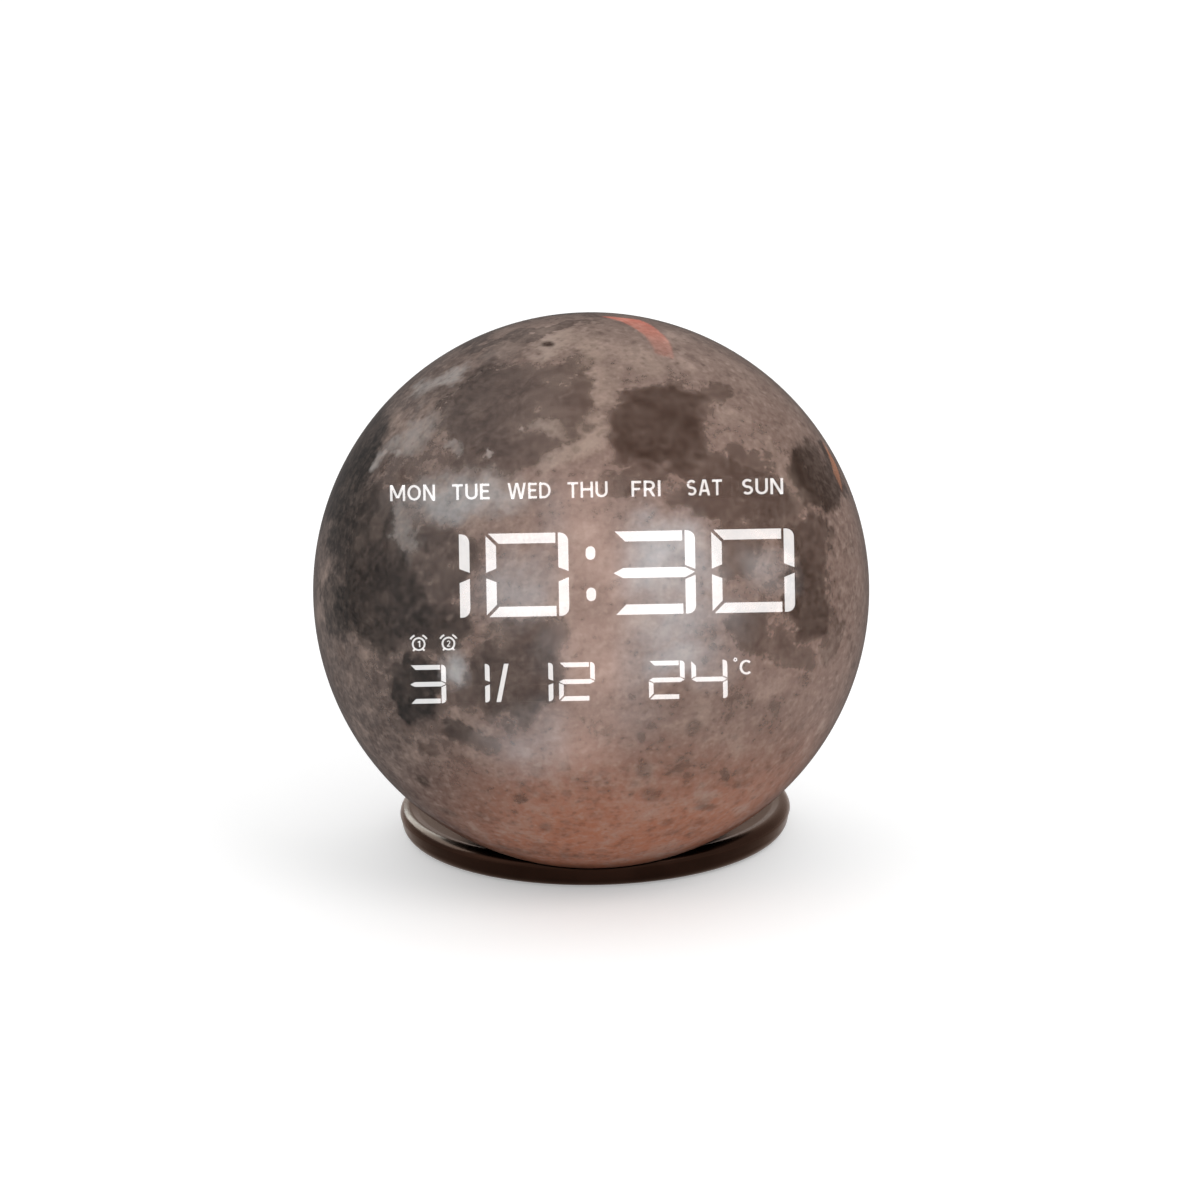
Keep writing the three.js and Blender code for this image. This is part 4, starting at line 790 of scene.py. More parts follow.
BASE_FINISH = pearl("base_lacquer", (38, 24, 18), (46, 30, 23), (0.8, 0.7, 0.65, 1))
INSIDE = clear_inside()
SIGN = lit_sign()
SLOT_LOOKS = {
    "casing": lacquered("casing", (27, 17, 14), (35, 23, 18)),
    "pad": grainy("pad_rubber", (28, 25, 24), (40, 36, 34), 1.4, 0.85, 0.05),
    "printed_dome": moon_print(),
    "mask": grainy("mask_print", (8, 8, 9), (14, 14, 15), 1.1, 0.75, 0.01),
    "film": grainy("smoked_film", (12, 12, 13), (17, 17, 18), 0.6, 0.6, 0.005),
    "reflector": moulded("reflector_white", (222, 222, 218), (236, 236, 232), 0.5),
    "circuit_board": board_green(),
    "carrier": moulded("carrier_dark", (24, 22, 21), (32, 30, 28), 0.6),
    "steel": brushed("plated_steel", (188, 190, 192), 0.3),
    "dark_steel": grainy("black_zinc", (40, 40, 43), (60, 60, 64), 3.0, 0.38, 0.004, 0.8),
    "grille": grainy("grille_coat", (30, 28, 28), (44, 41, 40), 4.0, 0.5, 0.02),
    "cell": moulded("cell_sleeve", (52, 100, 150), (62, 112, 164), 0.35),
    "cone": grainy("cone_paper", (26, 26, 27), (42, 42, 43), 1.8, 0.85, 0.05),
    "copper": striped("copper_winding", (200, 120, 66), (150, 80, 40), 0.25, 0.35, 2, 1.0),
    "spider": woven("spider_cloth", (178, 132, 60), (140, 96, 40), 0.5),
    "ferrite": grainy("ferrite", (50, 50, 52), (76, 76, 78), 2.2, 0.6, 0.03),
    "button": moulded("button_satin", (46, 38, 35), (56, 47, 43), 0.48, 0.01),
    "switch": moulded("switch_black", (34, 34, 35), (44, 44, 45), 0.5),
    "ribbon": striped("ribbon_cable", (214, 192, 150), (176, 136, 78), 1.0, 0.4),
    "lead": moulded("lead_red", (150, 28, 24), (168, 36, 30), 0.5),
}
MARKING = grainy("marking_ink", (196, 190, 184), (214, 208, 202), 6.0, 0.6, 0.003)
GOLD = brushed("gold_contact", (222, 178, 92), 0.25)


# Ball


def on_outer_skin(point):
    return (point - Vector(BALL_CENTRE) * MM).length > (BALL_RADIUS - WALL / 2) * MM


def flatten_bottom(item):
    """Presses what hangs below the ball's flat bottom up to it, higher by the floor on the inside."""
    for vertex in item.data.vertices:
        lowest = BALL_FLAT if on_outer_skin(vertex.co) else BALL_FLAT + SHELL_FLOOR
        vertex.co.z = max(vertex.co.z, lowest * MM)


def seam_edge(height):
    """The rounded edge of a half ball at the parting line."""
    return [(BALL_RADIUS - 2 * SEAM_LIP, height), (BALL_RADIUS - 0.3 * SEAM_LIP, height + 0.3 * SEAM_LIP)]


def moon_dome():
    inner = BALL_RADIUS - WALL
    outline = [(inner, 0), *seam_edge(0), *sphere_arc(BALL_RADIUS, 2 * SEAM_LIP, BALL_RADIUS, 64)]
    outline[-1] = (0, BALL_RADIUS)
    outline += [(0, inner), *sphere_arc(inner, 0, inner, 48)[::-1][1:-1]]
    item = object_of("dome", lathe(outline, BALL_SIDES, ring=True), BALL)
    flatten_bottom(item)
    dress(item, "printed_dome", replaces=["moon_dome"], sharp=40)
    item.data.materials.append(INSIDE)
    for polygon in item.data.polygons:
        polygon.material_index = 0 if on_outer_skin(polygon.center) else 1
    return item


def rear_shell():
    ledge_front = PANEL_SEAT - LEDGE_THICKNESS
    spigot_inner = SPIGOT_OUTER - SPIGOT_WALL
    outline = [(SPIGOT_OUTER, -SPIGOT_LENGTH), (SPIGOT_OUTER, GAP), *seam_edge(GAP)]
    outline += sphere_arc(BALL_RADIUS, GAP + 2 * SEAM_LIP, PANEL_SEAT - SEAM_LIP, 48)
    outline += [(LEDGE_RADIUS + SEAT_WIDTH, PANEL_SEAT), (LEDGE_RADIUS, PANEL_SEAT),
                (LEDGE_RADIUS, ledge_front)]
    outline += sphere_arc(BALL_RADIUS - WALL, SPIGOT_ROOT, ledge_front, 32)[::-1]
    outline += [(spigot_inner, SPIGOT_ROOT), (spigot_inner, -SPIGOT_LENGTH)]
    item = object_of("rear_half", lathe(outline, BALL_SIDES, ring=True), BACK)
    flatten_bottom(item)
    dress(item, "casing", replaces=["rear_shell"])


def hole_cutter(steps, sides, chamfer=MOUTH_CHAMFER, face=BACK_FACE):
    """A round hole through steps of (radius, height), with a chamfered mouth in a face."""
    low, radius = steps[0][1], steps[-1][0]
    over = face + CUT_OVER
    return lathe([(0, low), *steps, (radius, face - chamfer), (radius + chamfer + CUT_OVER, over), (0, over)],
                 sides)


def slot_cutter(width, height, low, chamfer=MOUTH_CHAMFER):
    flare = 2 * (chamfer + CUT_OVER)
    narrow = stadium(width, height)
    wide = stadium(width + flare, height + flare)
    return loft((narrow, low), (narrow, BACK_FACE - chamfer), (wide, BACK_FACE + CUT_OVER))


def button_places():
    return [on_circle(BUTTON_CIRCLE, 90 - turn) for turn in spread(len(BUTTON_NAMES), BUTTON_STEP)]


def screw_places():
    return [on_circle(SCREW_CIRCLE, angle) for angle in (45, 135, 225, 315)]


def panel_outline():
    """The back panel's half section, with the ball's curve running into a rounded back edge."""
    fillet_centre = BACK_FACE - BACK_FILLET
    fillet_reach = BALL_RADIUS - BACK_FILLET
    flat_radius = math.sqrt(fillet_reach**2 - fillet_centre**2)
    start = math.degrees(math.asin(fillet_centre / fillet_reach))
    edge = math.sqrt(BALL_RADIUS**2 - PANEL_INNER**2)
    inward, upward = PANEL_CHAMFER
    return [(0, PANEL_INNER), (edge - inward, PANEL_INNER), (edge, PANEL_INNER + upward),
            *arc(flat_radius, fillet_centre, BACK_FILLET, start, 90, 12), (0, BACK_FACE)]


def rear_panel():
    low = PANEL_INNER - CUT_OVER
    seat = BACK_FACE - GRILLE_RECESS
    speaker = [(SPEAKER_OPENING, low), (SPEAKER_OPENING, seat), (GRILLE_RADIUS + GAP, seat)]
    sink = [(SCREW_SHANK + GAP, low), (SCREW_SHANK + GAP, BACK_FACE - SCREW_RISE - GAP),
            (SCREW_HEAD + GAP, BACK_FACE - 2 * GAP)]
    button_hole = hole_cutter([(BUTTON_RADIUS + GAP, low)], sides=64)
    usb_hole = slot_cutter(USB_WIDTH + 2 * GAP, USB_HEIGHT + 2 * GAP, low)
    vent = slot_cutter(VENT["width"], VENT["height"], low, SMALL_CHAMFER)
    screw_hole = hole_cutter(sink, SCREW_SIDES, SMALL_CHAMFER)
    cutters = [moved(hole_cutter(speaker, RING_SIDES), 0, -SPEAKER_DROP)]
    cutters += [moved(button_hole, x, y) for x, y in button_places()]
    cutters.append(moved(usb_hole, 0, -USB_DROP))
    for rise in spread(VENT["count"], VENT["pitch"]):
        cutters.append(moved(vent, VENT["x"], rise - VENT["drop"]))
    cutters += [moved(screw_hole, x, y) for x, y in screw_places()]
    piece("back_panel", lathe(panel_outline(), BALL_SIDES), BACK, "casing", *cutters,
          replaces=["rear_panel"])


def cross_recess(reach, half_width, depth, turn):
    """A tapered cross for a screwdriver."""
    mouth = rotated(cross(reach, half_width), turn)
    floor = rotated(cross(0.45 * reach, 0.6 * half_width), turn)
    return loft((floor, BACK_FACE - depth), (mouth, BACK_FACE), (mouth, BACK_FACE + CUT_OVER))


def panel_screws():
    tip = BACK_FACE - SCREW_LENGTH
    inward, upward = SCREW_TIP
    outline = [(0, tip), (SCREW_SHANK - inward, tip), (SCREW_SHANK, tip + upward),
               (SCREW_SHANK, BACK_FACE - SCREW_RISE), (SCREW_HEAD, BACK_FACE - GAP),
               (SCREW_HEAD, BACK_FACE - SCREW_EDGE), (SCREW_HEAD - SCREW_EDGE, BACK_FACE), (0, BACK_FACE)]
    for index, (x, y) in enumerate(screw_places(), 1):
        recess = cross_recess(**SCREW_CROSS, turn=index * SCREW_TURN)
        piece(f"cross_screw_{index}", lathe(outline, SCREW_SIDES), shifted(BACK, x, y), "dark_steel", recess,
              replaces=[f"panel_screw_{index}"])


def speaker_grille():
    rim_bottom = BACK_FACE - GRILLE_RECESS + GAP
    rim_top = rim_bottom + GRILLE_SHEET
    plateau = GRILLE_RADIUS - GRILLE_SLOPE
    face = rim_top + GRILLE_CROWN
    inward, downward = GRILLE_EDGE
    upper = fillet([(GRILLE_RADIUS, rim_bottom), (GRILLE_RADIUS, rim_top - downward),
                    (GRILLE_RADIUS - inward, rim_top), (plateau, face), (0, face)], GRILLE_BEND)
    lower = fillet([(0, rim_bottom + GRILLE_CROWN), (plateau, rim_bottom + GRILLE_CROWN),
                    (GRILLE_RADIUS - GRILLE_SHEET, rim_bottom), (GRILLE_RADIUS, rim_bottom)], GRILLE_BEND)
    hole = hole_cutter([(GRILLE_HOLE, rim_bottom - CUT_OVER)], sides=28, chamfer=GRILLE_CHAMFER, face=face)
    cutters = []
    for ring in range(GRILLE_RINGS + 1):
        count = max(1, GRILLE_FOLD * ring)
        cutters += [moved(hole, x, y) for x, y in circle(ring * GRILLE_PITCH, count)]
    piece("grille_sheet", lathe(lower[:-1] + upper, RING_SIDES), SPEAKER, "grille", *cutters,
          replaces=["speaker_grille"])


def suspension(node, outline, held, slot):
    """A ring from the basket to the cone, in sectors.

    The held radius is not used.
    """
    width = 360 / SUSPENSION_SECTORS
    held *= math.cos(math.radians(width / 2))
    for index in range(SUSPENSION_SECTORS):
        middle = index * width
        part = sector(outline, middle - width / 2, middle + width / 2, SECTOR_STEPS)
        item = piece(f"{node}_sector_{index + 1}", part, SPEAKER, slot, body=None, replaces=[node])
        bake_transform(item)


def speaker_surround():
    """Rubber half-roll between the basket's flange and the cone."""
    lip_top = LIP_BOTTOM + SURROUND_THICKNESS
    lip_inner = CONE_RADIUS - SURROUND_LIP
    centre = CONE_RADIUS + SURROUND_ROLL
    inner_roll = SURROUND_ROLL - SURROUND_THICKNESS
    lift = math.degrees(math.asin(SURROUND_THICKNESS / SURROUND_ROLL))
    outline = [(lip_inner, LIP_BOTTOM), *arc(centre, LIP_BOTTOM, inner_roll, 180, 0, 12),
               (SEAL_RADIUS, LIP_BOTTOM), (SEAL_RADIUS, lip_top),
               *arc(centre, LIP_BOTTOM, SURROUND_ROLL, lift, 180 - lift, 12), (lip_inner, lip_top)]
    suspension("speaker_surround", outline, centre + inner_roll, "pad")


def speaker_spider():
    """Corrugated cloth disc between the basket's floor and the coil."""
    inner, outer = SPIDER_RADII
    step = (outer - inner) / (2 * SPIDER_WAVES)
    waves = [(inner + index * step, BASKET_FLOOR + GAP + index % 2 * SPIDER_WAVE)
             for index in range(2 * SPIDER_WAVES + 1)]
    upper = [(radius, height + SPIDER_SHEET) for radius, height in reversed(waves)]
    suspension("speaker_spider", waves + upper, inner + step, "spider")


# Buttons


def alarm_sign(radius, stroke, bottom, top):
    """An alarm clock drawn as a ring with two bells and two feet."""
    outlines = []
    for side in (-1, 1):
        bell, foot = 90 - side * 42, -90 + side * 40
        outlines.append(thick_arc(radius + 1.55 * stroke, stroke, bell - 17, bell + 17))
        outlines.append(bar(1.5 * stroke, stroke, foot, *on_circle(radius + 0.35 * stroke, foot)))
    ring = band(circle(radius, 40), circle(radius - stroke, 40), bottom, top)
    return together(ring, prisms(outlines, bottom, top))


def thick_arc(radius, width, start, end):
    return arc(0, 0, radius + width / 2, start, end, 10) + arc(0, 0, radius - width / 2, end, start, 10)


def button_sign(name, bottom, top):
    if name == "alarm":
        return alarm_sign(1.0, 0.26, bottom, top)
    triangle = [(-1.35, -0.95), (0.15, 0), (-1.35, 0.95)]
    outlines = {
        "mode": [bar(2.2, INK_STROKE, y=y) for y in (-0.75, 0, 0.75)],
        "minus": [bar(2.3, INK_STROKE)],
        "play": [triangle] + [bar(1.9, INK_STROKE, 90, x) for x in (0.6, 1.25)],
        "plus": [cross(1.15, INK_STROKE / 2)],
    }
    return prisms(outlines[name], bottom, top)


def push_buttons():
    top = BACK_FACE + BUTTON_PROUD
    flange = BUTTON_RADIUS + BUTTON_FLANGE
    flange_back = PANEL_INNER - GAP
    flange_front = flange_back - BUTTON_FLANGE_THICKNESS
    stem_end = flange_front - BUTTON_STEM_LENGTH
    rim = BUTTON_RADIUS - BUTTON_EDGE
    outline = [(0, stem_end), (BUTTON_STEM, stem_end), (BUTTON_STEM, flange_front), (flange, flange_front),
               (flange, flange_back), (BUTTON_RADIUS, flange_back)]
    outline += arc(rim, top - BUTTON_EDGE, BUTTON_EDGE, 0, 90, 8)
    outline += [(rim * share, top - BUTTON_DISH * (1 - share**2)) for share in (0.8, 0.6, 0.4, 0.2, 0)]
    floor = top - BUTTON_DISH
    for name, (x, y) in zip(BUTTON_NAMES, button_places()):
        place = shifted(BACK, x, y)
        body = f"{name}_key"
        piece(f"cap_{name}", lathe(outline, sides=72), place, "button", body=body,
              replaces=[f"button_{name}"], sharp=30)
        sign = button_sign(name, floor - INK_SUNK, floor + INK_PROUD)
        piece(f"sign_{name}", sign, place, "button", look=MARKING, body=body)


def usb_contacts(thick, floor, tip):
    """Rows of contacts on both faces of the inlet's tongue."""
    size = USB_CONTACTS
    height = thick / 2 + size["proud"]
    outlines = []
    for x in spread(size["count"], size["pitch"]):
        outlines += [rectangle(size["width"], size["thickness"], x, y) for y in (-height, height)]
    return prisms(outlines, floor, tip - size["setback"])


def usb_port():
    mouth = BACK_FACE - GAP
    floor = mouth - USB_DEPTH
    edge = mouth - USB_LIP
    outer, rim, inner = [stadium(USB_WIDTH - 2 * inset, USB_HEIGHT - 2 * inset)
                         for inset in (0, USB_LIP, USB_WALL)]
    shell = loft((outer, floor - USB_BACK), (outer, edge), (rim, mouth), (inner, edge), (inner, floor))
    width, thick = USB_TONGUE
    narrower, thinner, length = USB_TONGUE_TIP
    tip = mouth - USB_TONGUE_SETBACK
    root = rectangle(width, thick)
    point = rectangle(width - narrower, thick - thinner)
    tongue = loft((root, floor - USB_TONGUE_ROOT), (root, tip - length), (point, tip))
    place = shifted(BACK, 0, -USB_DROP)
    piece("inlet_shell", shell, place, "steel", replaces=["usb_port"])
    piece("inlet_tongue", tongue, place, "switch")
    piece("inlet_contacts", usb_contacts(thick, floor, tip), place, "copper", look=GOLD)


# Base


def base_shell():
    """The stand, with the ball's socket cut into its top."""
    top_edge = BASE_RADIUS - BASE_EDGE
    dish = BASE_HEIGHT - BASE_DISH
    foot = arc(BASE_FOOT_RADIUS - BASE_FOOT_EDGE, PAD_PROUD + BASE_FOOT_EDGE, BASE_FOOT_EDGE, -90, 0, 12)
    rim = arc(top_edge, BASE_HEIGHT - BASE_EDGE, BASE_EDGE, 0, 90, 12)
    slope = fillet([rim[-1], (top_edge - BASE_RIM_FLAT, BASE_HEIGHT), (top_edge - BASE_RIM, dish), (0, dish)],
                   BASE_RIM_BEND)
    outline = [(0, BASE_FLOOR_BOTTOM), (PAD_RADIUS + GAP, BASE_FLOOR_BOTTOM), (PAD_RADIUS + GAP, PAD_PROUD)]
    bottom, top = BASE_FLOOR_TOP - BALL_CENTRE[2], BASE_HEIGHT + 2 * CUT_OVER - BALL_CENTRE[2]
    socket = lathe([(0, bottom), *sphere_arc(BALL_RADIUS + GAP, bottom, top, 10), (0, top)], BALL_SIDES)
    return piece("base_body", lathe(outline + foot + rim + slope[1:], BALL_SIDES), WORLD, "casing",
                 moved(socket, *BALL_CENTRE), look=BASE_FINISH, replaces=["base_shell"])


def base_pad():
    outline = [(0, PAD_THICKNESS), (PAD_RADIUS, PAD_THICKNESS), (PAD_RADIUS, PAD_CHAMFER),
               (PAD_RADIUS - PAD_CHAMFER, 0)]
    mouth, floor, depth = PAD_GROOVE
    groove = [(mouth, 0), (floor, depth), (-floor, depth), (-mouth, 0)]
    for radius in PAD_GROOVES:
        outline += [(radius + offset, height) for offset, height in groove]
    outline.append((0, 0))
    piece("grip_pad", lathe(outline, RING_SIDES), WORLD, "pad", replaces=["base_pad"])


# Lit signs in the windows of the display mask

TIME_DIGIT = {"width": 17.2, "height": 17.4, "stroke": 2.15}
TIME_ROW = 3.5
TIME = (("1", -33.8), ("0", -13.2), ("3", 13.2), ("0", 33.8))
COLON = {"width": 2, "height": 2.8, "spacing": 8.6}
SMALL_DIGIT = {"width": 7.5, "height": 8, "stroke": 0.98}
SMALL_ROW = -18.9
DATE = (("3", -34.3), ("1", -25.2), ("1", -12), ("2", -3.3))
TEMPERATURE = (("2", 15.4), ("4", 24.3))
SLASH = {"x": -18.8, "width": 0.95, "lean": 1.7}
WEEKDAYS = (("MON", 9.4), ("TUE", 7.8), ("WED", 9.0), ("THU", 8.35), ("FRI", 6.1), ("SAT", 7.35),
            ("SUN", 8.55))
WEEKDAY_PLACES = spread(len(WEEKDAYS), 12.15)
WEEKDAY_ROW = 21
WEEKDAY_SHIFT = -0.35
WEEKDAY_HEIGHT = 3.3
ALARMS = (("1", -36.1), ("2", -29.9))
ALARM_ROW = -10.4
# Lit bars of a digit: top, upper left, upper right, bottom, lower left, lower right, middle
LIT = {"0": (0, 1, 2, 3, 4, 5), "1": (2, 5), "2": (0, 2, 3, 4, 6), "3": (0, 2, 3, 5, 6), "4": (1, 2, 5, 6)}
SIGN_BOTTOM = DISPLAY_FILM + 0.02
SIGN_TOP = DISPLAY_FRONT + 0.06
LEGEND_TOP = DISPLAY_FRONT - 0.1
WEEKDAY_PLATE = (10.2, 4.2)
ALARM_PLATE = 2.05
ALARM_SIGN = {"radius": 1.42, "stroke": 0.36}
ALARM_DIGIT = {"width": 0.7, "height": 1.3}
ALARM_DROP = 0.1
DEGREE_PLATE = {"width": 3.8, "height": 3.8, "x": 31.2, "y": -16.5}
DEGREE_RING = (0.42, 0.16)  # outer and inner radius
DEGREE_PLACE = (29.75, -14.95)
UNIT_LETTER = {"width": 2.35, "height": 3.1}
UNIT_PLACE = (31.75, -16.55)


def segments(width, height, stroke):
    """The seven bars of a digit, mitred on the left and rounded on the right."""
    right, top = width / 2, height / 2
    slit, corner = 0.2 * stroke, 0.8 * stroke
    inner, outer = 0.65 * stroke, 0.25 * stroke
    shoulder = right - 0.95 * stroke
    def flip(points):
        return [(x, -y) for x, y in points][::-1]
    bar_top = [(slit - right, top), (slit + stroke - right, top - stroke),
               (right - stroke - slit, top - stroke), (right - stroke - slit, top)]
    left = [(-right, top - slit), (-right, outer), (stroke - right, inner),
            (stroke - right, top - slit - stroke)]
    post = [(right - stroke, inner), (right, outer)]
    post += arc(right - corner, top - corner, corner, 0, 90, 6) + [(right - stroke, top)]
    middle = [(-right, 0), (-shoulder, -stroke / 2), (shoulder, -stroke / 2),
              (right, 0), (shoulder, stroke / 2), (-shoulder, stroke / 2)]
    return [bar_top, left, post, flip(bar_top), flip(left), flip(post), middle]


def shrunk(outline, share=0.985):
    """An outline drawn in towards its middle, so that it fits into its window."""
    x = sum(point[0] for point in outline) / len(outline)
    y = sum(point[1] for point in outline) / len(outline)
    return [(x + (a - x) * share, y + (b - y) * share) for a, b in outline]


def digits(row, size, y):
    bars = segments(**size)
    parts = []
    for sign, x in row:
        lit = [shrunk(bars[index]) for index in LIT[sign]]
        parts.append(moved(prisms(lit, SIGN_BOTTOM, SIGN_TOP), x, y))
    return together(*parts)


# Letters as strokes in a box one high: polylines through (x, y), with the width of the letter last
LETTER_STROKE = 0.145
LETTER_GAP = 0.13


def bow(x, y, half_width, half_height, start, end, steps=14):
    """An elliptic arc for a letter."""
    return [(x + half_width * a, y + half_height * b) for a, b in arc(0, 0, 1, start, end, steps)]


STEM = [(0.08, 0), (0.08, 1)]
LETTERS = {
    "A": ([(0.08, 0), (0.33, 1)], [(0.66, 0), (0.41, 1)], [(0.17, 0.3), (0.57, 0.3)], 0.74),
    "C": (bow(0.4, 0.5, 0.32, 0.42, 48, 312, 24), 0.66),
    "D": (STEM, [(0.08, 0.92), (0.28, 0.92)] + bow(0.3, 0.5, 0.35, 0.42, 90, -90)
          + [(0.08, 0.08)], 0.74),
    "E": (STEM, [(0.1, 0.92), (0.55, 0.92)], [(0.1, 0.52), (0.5, 0.52)],
          [(0.1, 0.08), (0.55, 0.08)], 0.56),
    "F": (STEM, [(0.1, 0.92), (0.54, 0.92)], [(0.1, 0.48), (0.48, 0.48)], 0.55),
    "H": (STEM, [(0.66, 0), (0.66, 1)], [(0.1, 0.52), (0.64, 0.52)], 0.74),
    "I": (STEM, 0.16),
    "M": (STEM, [(0.86, 0), (0.86, 1)], [(0.1, 1), (0.45, 0.18)],
          [(0.84, 1), (0.49, 0.18)], 0.94),
    "N": (STEM, [(0.66, 0), (0.66, 1)], [(0.1, 1), (0.64, 0)], 0.74),
    "O": (bow(0.42, 0.5, 0.34, 0.42, 0, 360, 32), 0.84),
    "R": (STEM, [(0.08, 0.92), (0.3, 0.92)] + bow(0.32, 0.69, 0.24, 0.23, 90, -90)
          + [(0.08, 0.46)], [(0.33, 0.46), (0.57, 0)], 0.66),
    "S": (bow(0.31, 0.71, 0.23, 0.21, 35, 270) + bow(0.31, 0.29, 0.23, 0.21, 90, -145)[1:], 0.62),
    "T": ([(0, 0.92), (0.62, 0.92)], [(0.31, 0), (0.31, 0.9)], 0.62),
    "U": ([(0.08, 1), (0.08, 0.36)] + bow(0.36, 0.36, 0.28, 0.28, 180, 360) + [(0.64, 0.36), (0.64, 1)],
          0.72),
    "W": ([(0.08, 1), (0.29, 0)], [(0.55, 1), (0.33, 0)], [(0.6, 1), (0.82, 0)], [(1.07, 1), (0.86, 0)],
          1.15),
    "1": ([(0.3, 0), (0.3, 1)], [(0.1, 0.76), (0.3, 0.93)], 0.38),
    "2": (bow(0.3, 0.7, 0.22, 0.22, 165, -35) + [(0.1, 0.1)], [(0.04, 0.08), (0.56, 0.08)], 0.56),
}


def stroke(points, width):
    """The outline of a line of even width. Steep ends are cut level, as in plain lettering."""
    left, right = [], []
    for index, (x, y) in enumerate(points):
        before = Vector(points[max(index - 1, 0)])
        after = Vector(points[min(index + 1, len(points) - 1)])
        run = (after - before).normalized()
        side = Vector((-run.y, run.x)) * width / 2
        if abs(run.y) > 0.8 and len(points) == 2:
            side = Vector((-width / 2 / run.y, 0))
        left.append((x + side.x, y + side.y))
        right.append((x - side.x, y - side.y))
    return left + right[::-1]


def letters(text, width, height):
    """Lettering of a given width and height, centred on the origin."""
    length = sum(LETTERS[letter][-1] + LETTER_GAP for letter in text) - LETTER_GAP
    scale = width / length
    start = -length / 2
    outlines = []
    for letter in text:
        *lines, advance = LETTERS[letter]
        for line in lines:
            outline = stroke(line, LETTER_STROKE)
            outlines.append([((start + x) * scale, (y - 0.5) * height) for x, y in outline])
        start += advance + LETTER_GAP
    return prisms(outlines, LEGEND_TOP, SIGN_TOP)


def legend_plates():
    """Dark plates that close the windows round the letters and the small signs."""
    outlines = [rectangle(*WEEKDAY_PLATE, x, WEEKDAY_ROW) for x in WEEKDAY_PLACES]
    outlines += [circle(ALARM_PLATE, 32, x, ALARM_ROW) for _, x in ALARMS]
    outlines.append(rectangle(**DEGREE_PLATE))
    piece("legend_plates", prisms(outlines, SIGN_BOTTOM, LEGEND_TOP), BALL, "mask")


def colon():
    dot = prisms([rotated(stadium(COLON["height"], COLON["width"]), 90)], SIGN_BOTTOM, SIGN_TOP)
    return together(*[moved(dot, 0, TIME_ROW + rise) for rise in spread(2, COLON["spacing"])])


def slash():
    lean, half_width, half_height = SLASH["lean"] / 2, SLASH["width"] / 2, SMALL_DIGIT["height"] / 2
    outline = [(-lean - half_width, -half_height), (-lean + half_width, -half_height),
               (lean + half_width, half_height), (lean - half_width, half_height)]
    return moved(prisms([shrunk(outline)], SIGN_BOTTOM, SIGN_TOP), SLASH["x"], SMALL_ROW)


def degree_sign():
    outer, inner = [circle(radius, 24) for radius in DEGREE_RING]
    ring = band(outer, inner, LEGEND_TOP, SIGN_TOP)
    return together(moved(ring, *DEGREE_PLACE), moved(letters("C", **UNIT_LETTER), *UNIT_PLACE))


def lit_pieces():
    names = []
    for (text, width), x in zip(WEEKDAYS, WEEKDAY_PLACES):
        names.append(moved(letters(text, width, WEEKDAY_HEIGHT), x + WEEKDAY_SHIFT, WEEKDAY_ROW))
    alarms = []
    for text, x in ALARMS:
        sign = alarm_sign(**ALARM_SIGN, bottom=LEGEND_TOP, top=SIGN_TOP)
        alarms.append(moved(together(sign, letters(text, **ALARM_DIGIT)), x, ALARM_ROW - ALARM_DROP))
    pieces = {
        "lit_time": together(digits(TIME, TIME_DIGIT, TIME_ROW), colon()),
        "lit_date": together(digits(DATE, SMALL_DIGIT, SMALL_ROW), slash()),
        "lit_temperature": together(digits(TEMPERATURE, SMALL_DIGIT, SMALL_ROW), degree_sign()),
        "lit_weekdays": together(*names),
        "lit_alarms": together(*alarms),
    }
    for name, part in pieces.items():
        piece(name, part, BALL, "film", look=SIGN)


# Floor, light and camera

FLOOR_WIDTH = 18000
FLOOR_GLOW = 0.33
WORLD_DIMMED = 0.85
LENS = 97
SENSOR_WIDTH = 36
CAMERA_EYE = (0, -702.1, 232.0)
CAMERA_ROLL = -1.05
PHOTO_PIXELS = 1200
BALL_OFF_CENTRE_PIXELS = (8.85, -9.75)
# Places of long lamps whose mirror images lie at the ball's top, at its right and on the base's rim
CRESCENT = ((36, 555, 218), (89, 503, 336), (133, 441, 418), (173, 344, 503))
GLINT = ((242, 526, 63), (347, 465, 88))
RIM_LIGHT = ((-180, 530, 190), (-280, 420, 340), (-420, 220, 400), (-490, -20, 390))


def floor():
    graph = Graph("pale_floor")
    graph.only_seen()
    tone = graph.mix(graph.noise(0.02), (0.85, 0.85, 0.85, 1), (0.87, 0.87, 0.87, 1))
    material = graph.principled(Base_Color=tone, Roughness=0.9, Specular_IOR_Level=0.1,
                                Emission_Color=(1, 1, 1, 1),
                                Emission_Strength=graph.times(graph.directly_seen(), FLOOR_GLOW))
    corners = [(x, y, 0) for x, y in rectangle(FLOOR_WIDTH, FLOOR_WIDTH)]
    item = object_of("floor", (corners, [[0, 1, 2, 3]]), WORLD)
    item.data.materials.append(material)


def world_light():
    """White where it is seen, and a little dimmer as a light."""
    graph = Graph("studio", bpy.data.worlds, "ShaderNodeOutputWorld")
    strength = graph.step(graph.directly_seen(), 0, 1, WORLD_DIMMED, 1)
    white = graph.add("ShaderNodeBackground", {"Color": (1, 1, 1, 1), "Strength": strength})
    bpy.context.scene.world = graph.show(white)


def aimed(name, data, place):
    """An object for a lamp or a camera that looks at the middle of the ball."""
    item = bpy.data.objects.new(name, data)
    bpy.context.scene.collection.objects.link(item)
    item.location = Vector(place) * MM
    item.rotation_mode = "QUATERNION"
    item.rotation_quaternion = (Vector(BALL_CENTRE) - Vector(place)).to_track_quat("-Z", "Y")
    return item


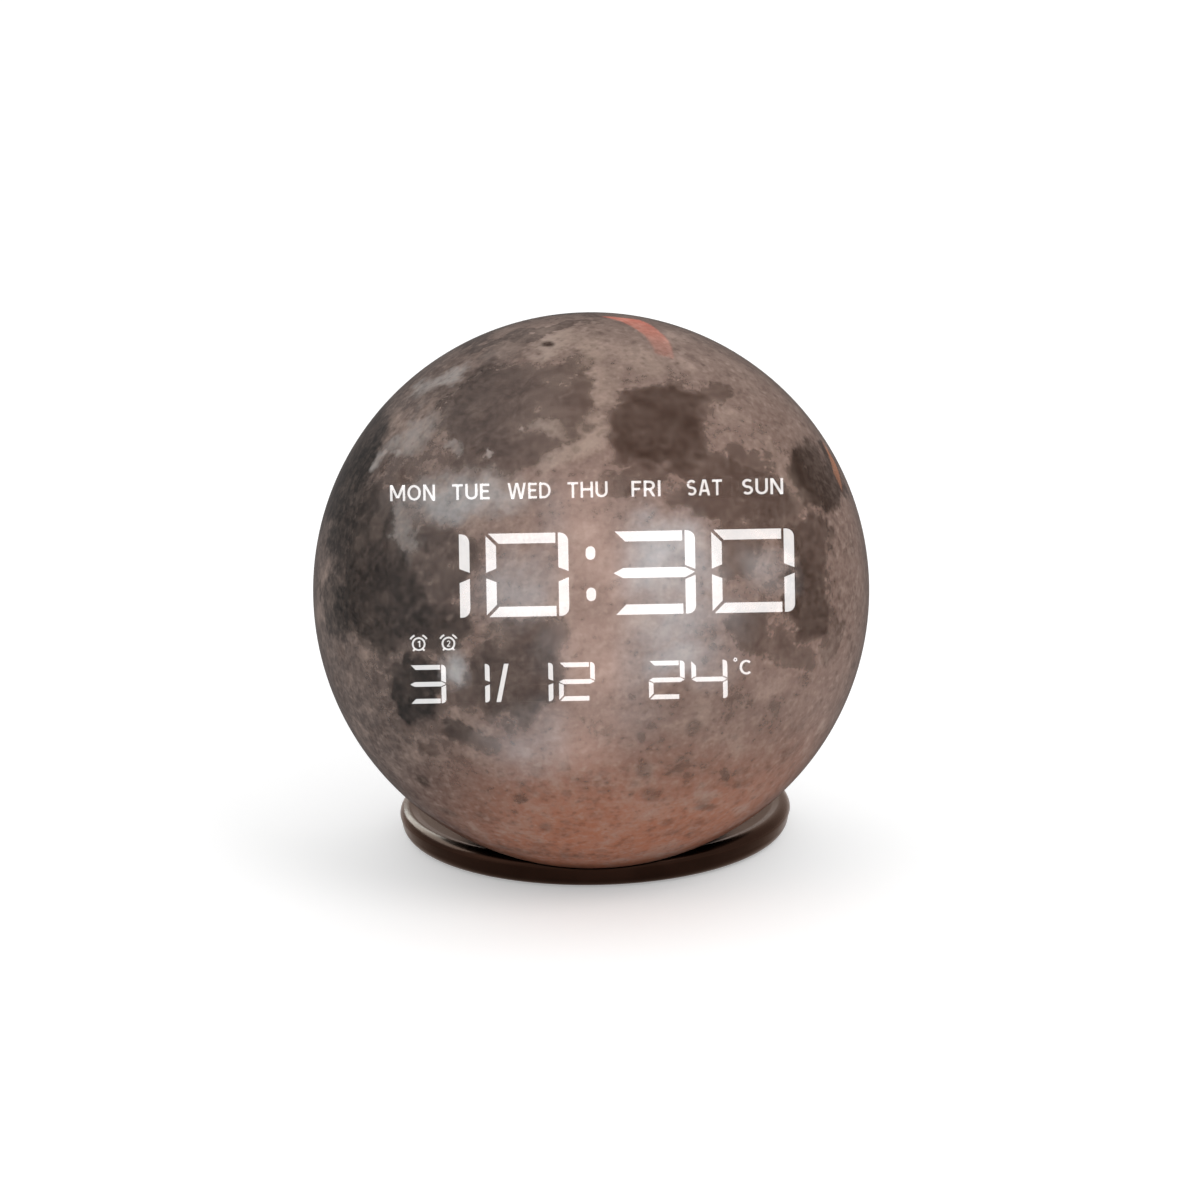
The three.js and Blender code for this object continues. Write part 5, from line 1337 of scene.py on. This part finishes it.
def lamp(name, place, size, power, colour=(1, 1, 1)):
    data = bpy.data.lights.new(name, "AREA")
    data.shape = "DISK"
    data.size = size * MM
    data.energy = power
    data.color = colour
    item = aimed(name, data, place)
    item.visible_camera = False
    return item


def strip_lamps(name, places, width, power, colour, only):
    """Long lamps from place to place, seen in the gloss of one piece alone."""
    lit = bpy.data.collections.new(f"lit_by_{name}")
    lit.objects.link(only)
    for index, (start, end) in enumerate(zip(places, places[1:]), 1):
        start, end = Vector(start), Vector(end)
        middle = (start + end) / 2
        along = (end - start).normalized()
        across = (middle - Vector(BALL_CENTRE)).cross(along).normalized()
        item = lamp(f"{name}_{index}", middle, (end - start).length, power, colour)
        item.data.shape = "RECTANGLE"
        item.data.size_y = width * MM
        turn = Matrix((along, across, along.cross(across))).transposed()
        item.rotation_quaternion = turn.to_quaternion()
        item.visible_diffuse = False
        item.light_linking.receiver_collection = lit


def camera():
    data = bpy.data.cameras.new("photo_camera")
    data.lens = LENS
    data.sensor_width = SENSOR_WIDTH
    data.shift_x, data.shift_y = [pixels / PHOTO_PIXELS for pixels in BALL_OFF_CENTRE_PIXELS]
    data.clip_start = 0.01
    data.clip_end = 100
    item = aimed("photo_camera", data, CAMERA_EYE)
    item.rotation_quaternion @= Quaternion((0, 0, 1), math.radians(CAMERA_ROLL))
    bpy.context.scene.camera = item


def dress_cad_nodes():
    """Gives each CAD node the look of its material slot."""
    for row in frame["record"]["subparts"]:
        for node in row.get("nodes", [row.get("node")]):
            item = frame["nodes"][node]
            item.data.materials.clear()
            item.data.materials.append(SLOT_LOOKS[row["material_slot"]])


camera()
floor()
world_light()
lamp("key", (620, -760, 820), size=620, power=3.2)
lamp("fill", (-780, -520, 420), size=700, power=0.8)
dress_cad_nodes()
dome = moon_dome()
rear_shell()
rear_panel()
panel_screws()
speaker_grille()
speaker_surround()
speaker_spider()
push_buttons()
usb_port()
base = base_shell()
base_pad()
legend_plates()
lit_pieces()
strip_lamps("crescent", CRESCENT, width=44, power=0.18, colour=(1, 0.16, 0.08), only=dome)
strip_lamps("glint", GLINT, width=30, power=0.07, colour=(1, 0.38, 0.18), only=dome)
strip_lamps("rim", RIM_LIGHT, width=280, power=2.2, colour=(0.54, 0.83, 1), only=base)

bpy.context.scene.view_settings.view_transform = "Standard"
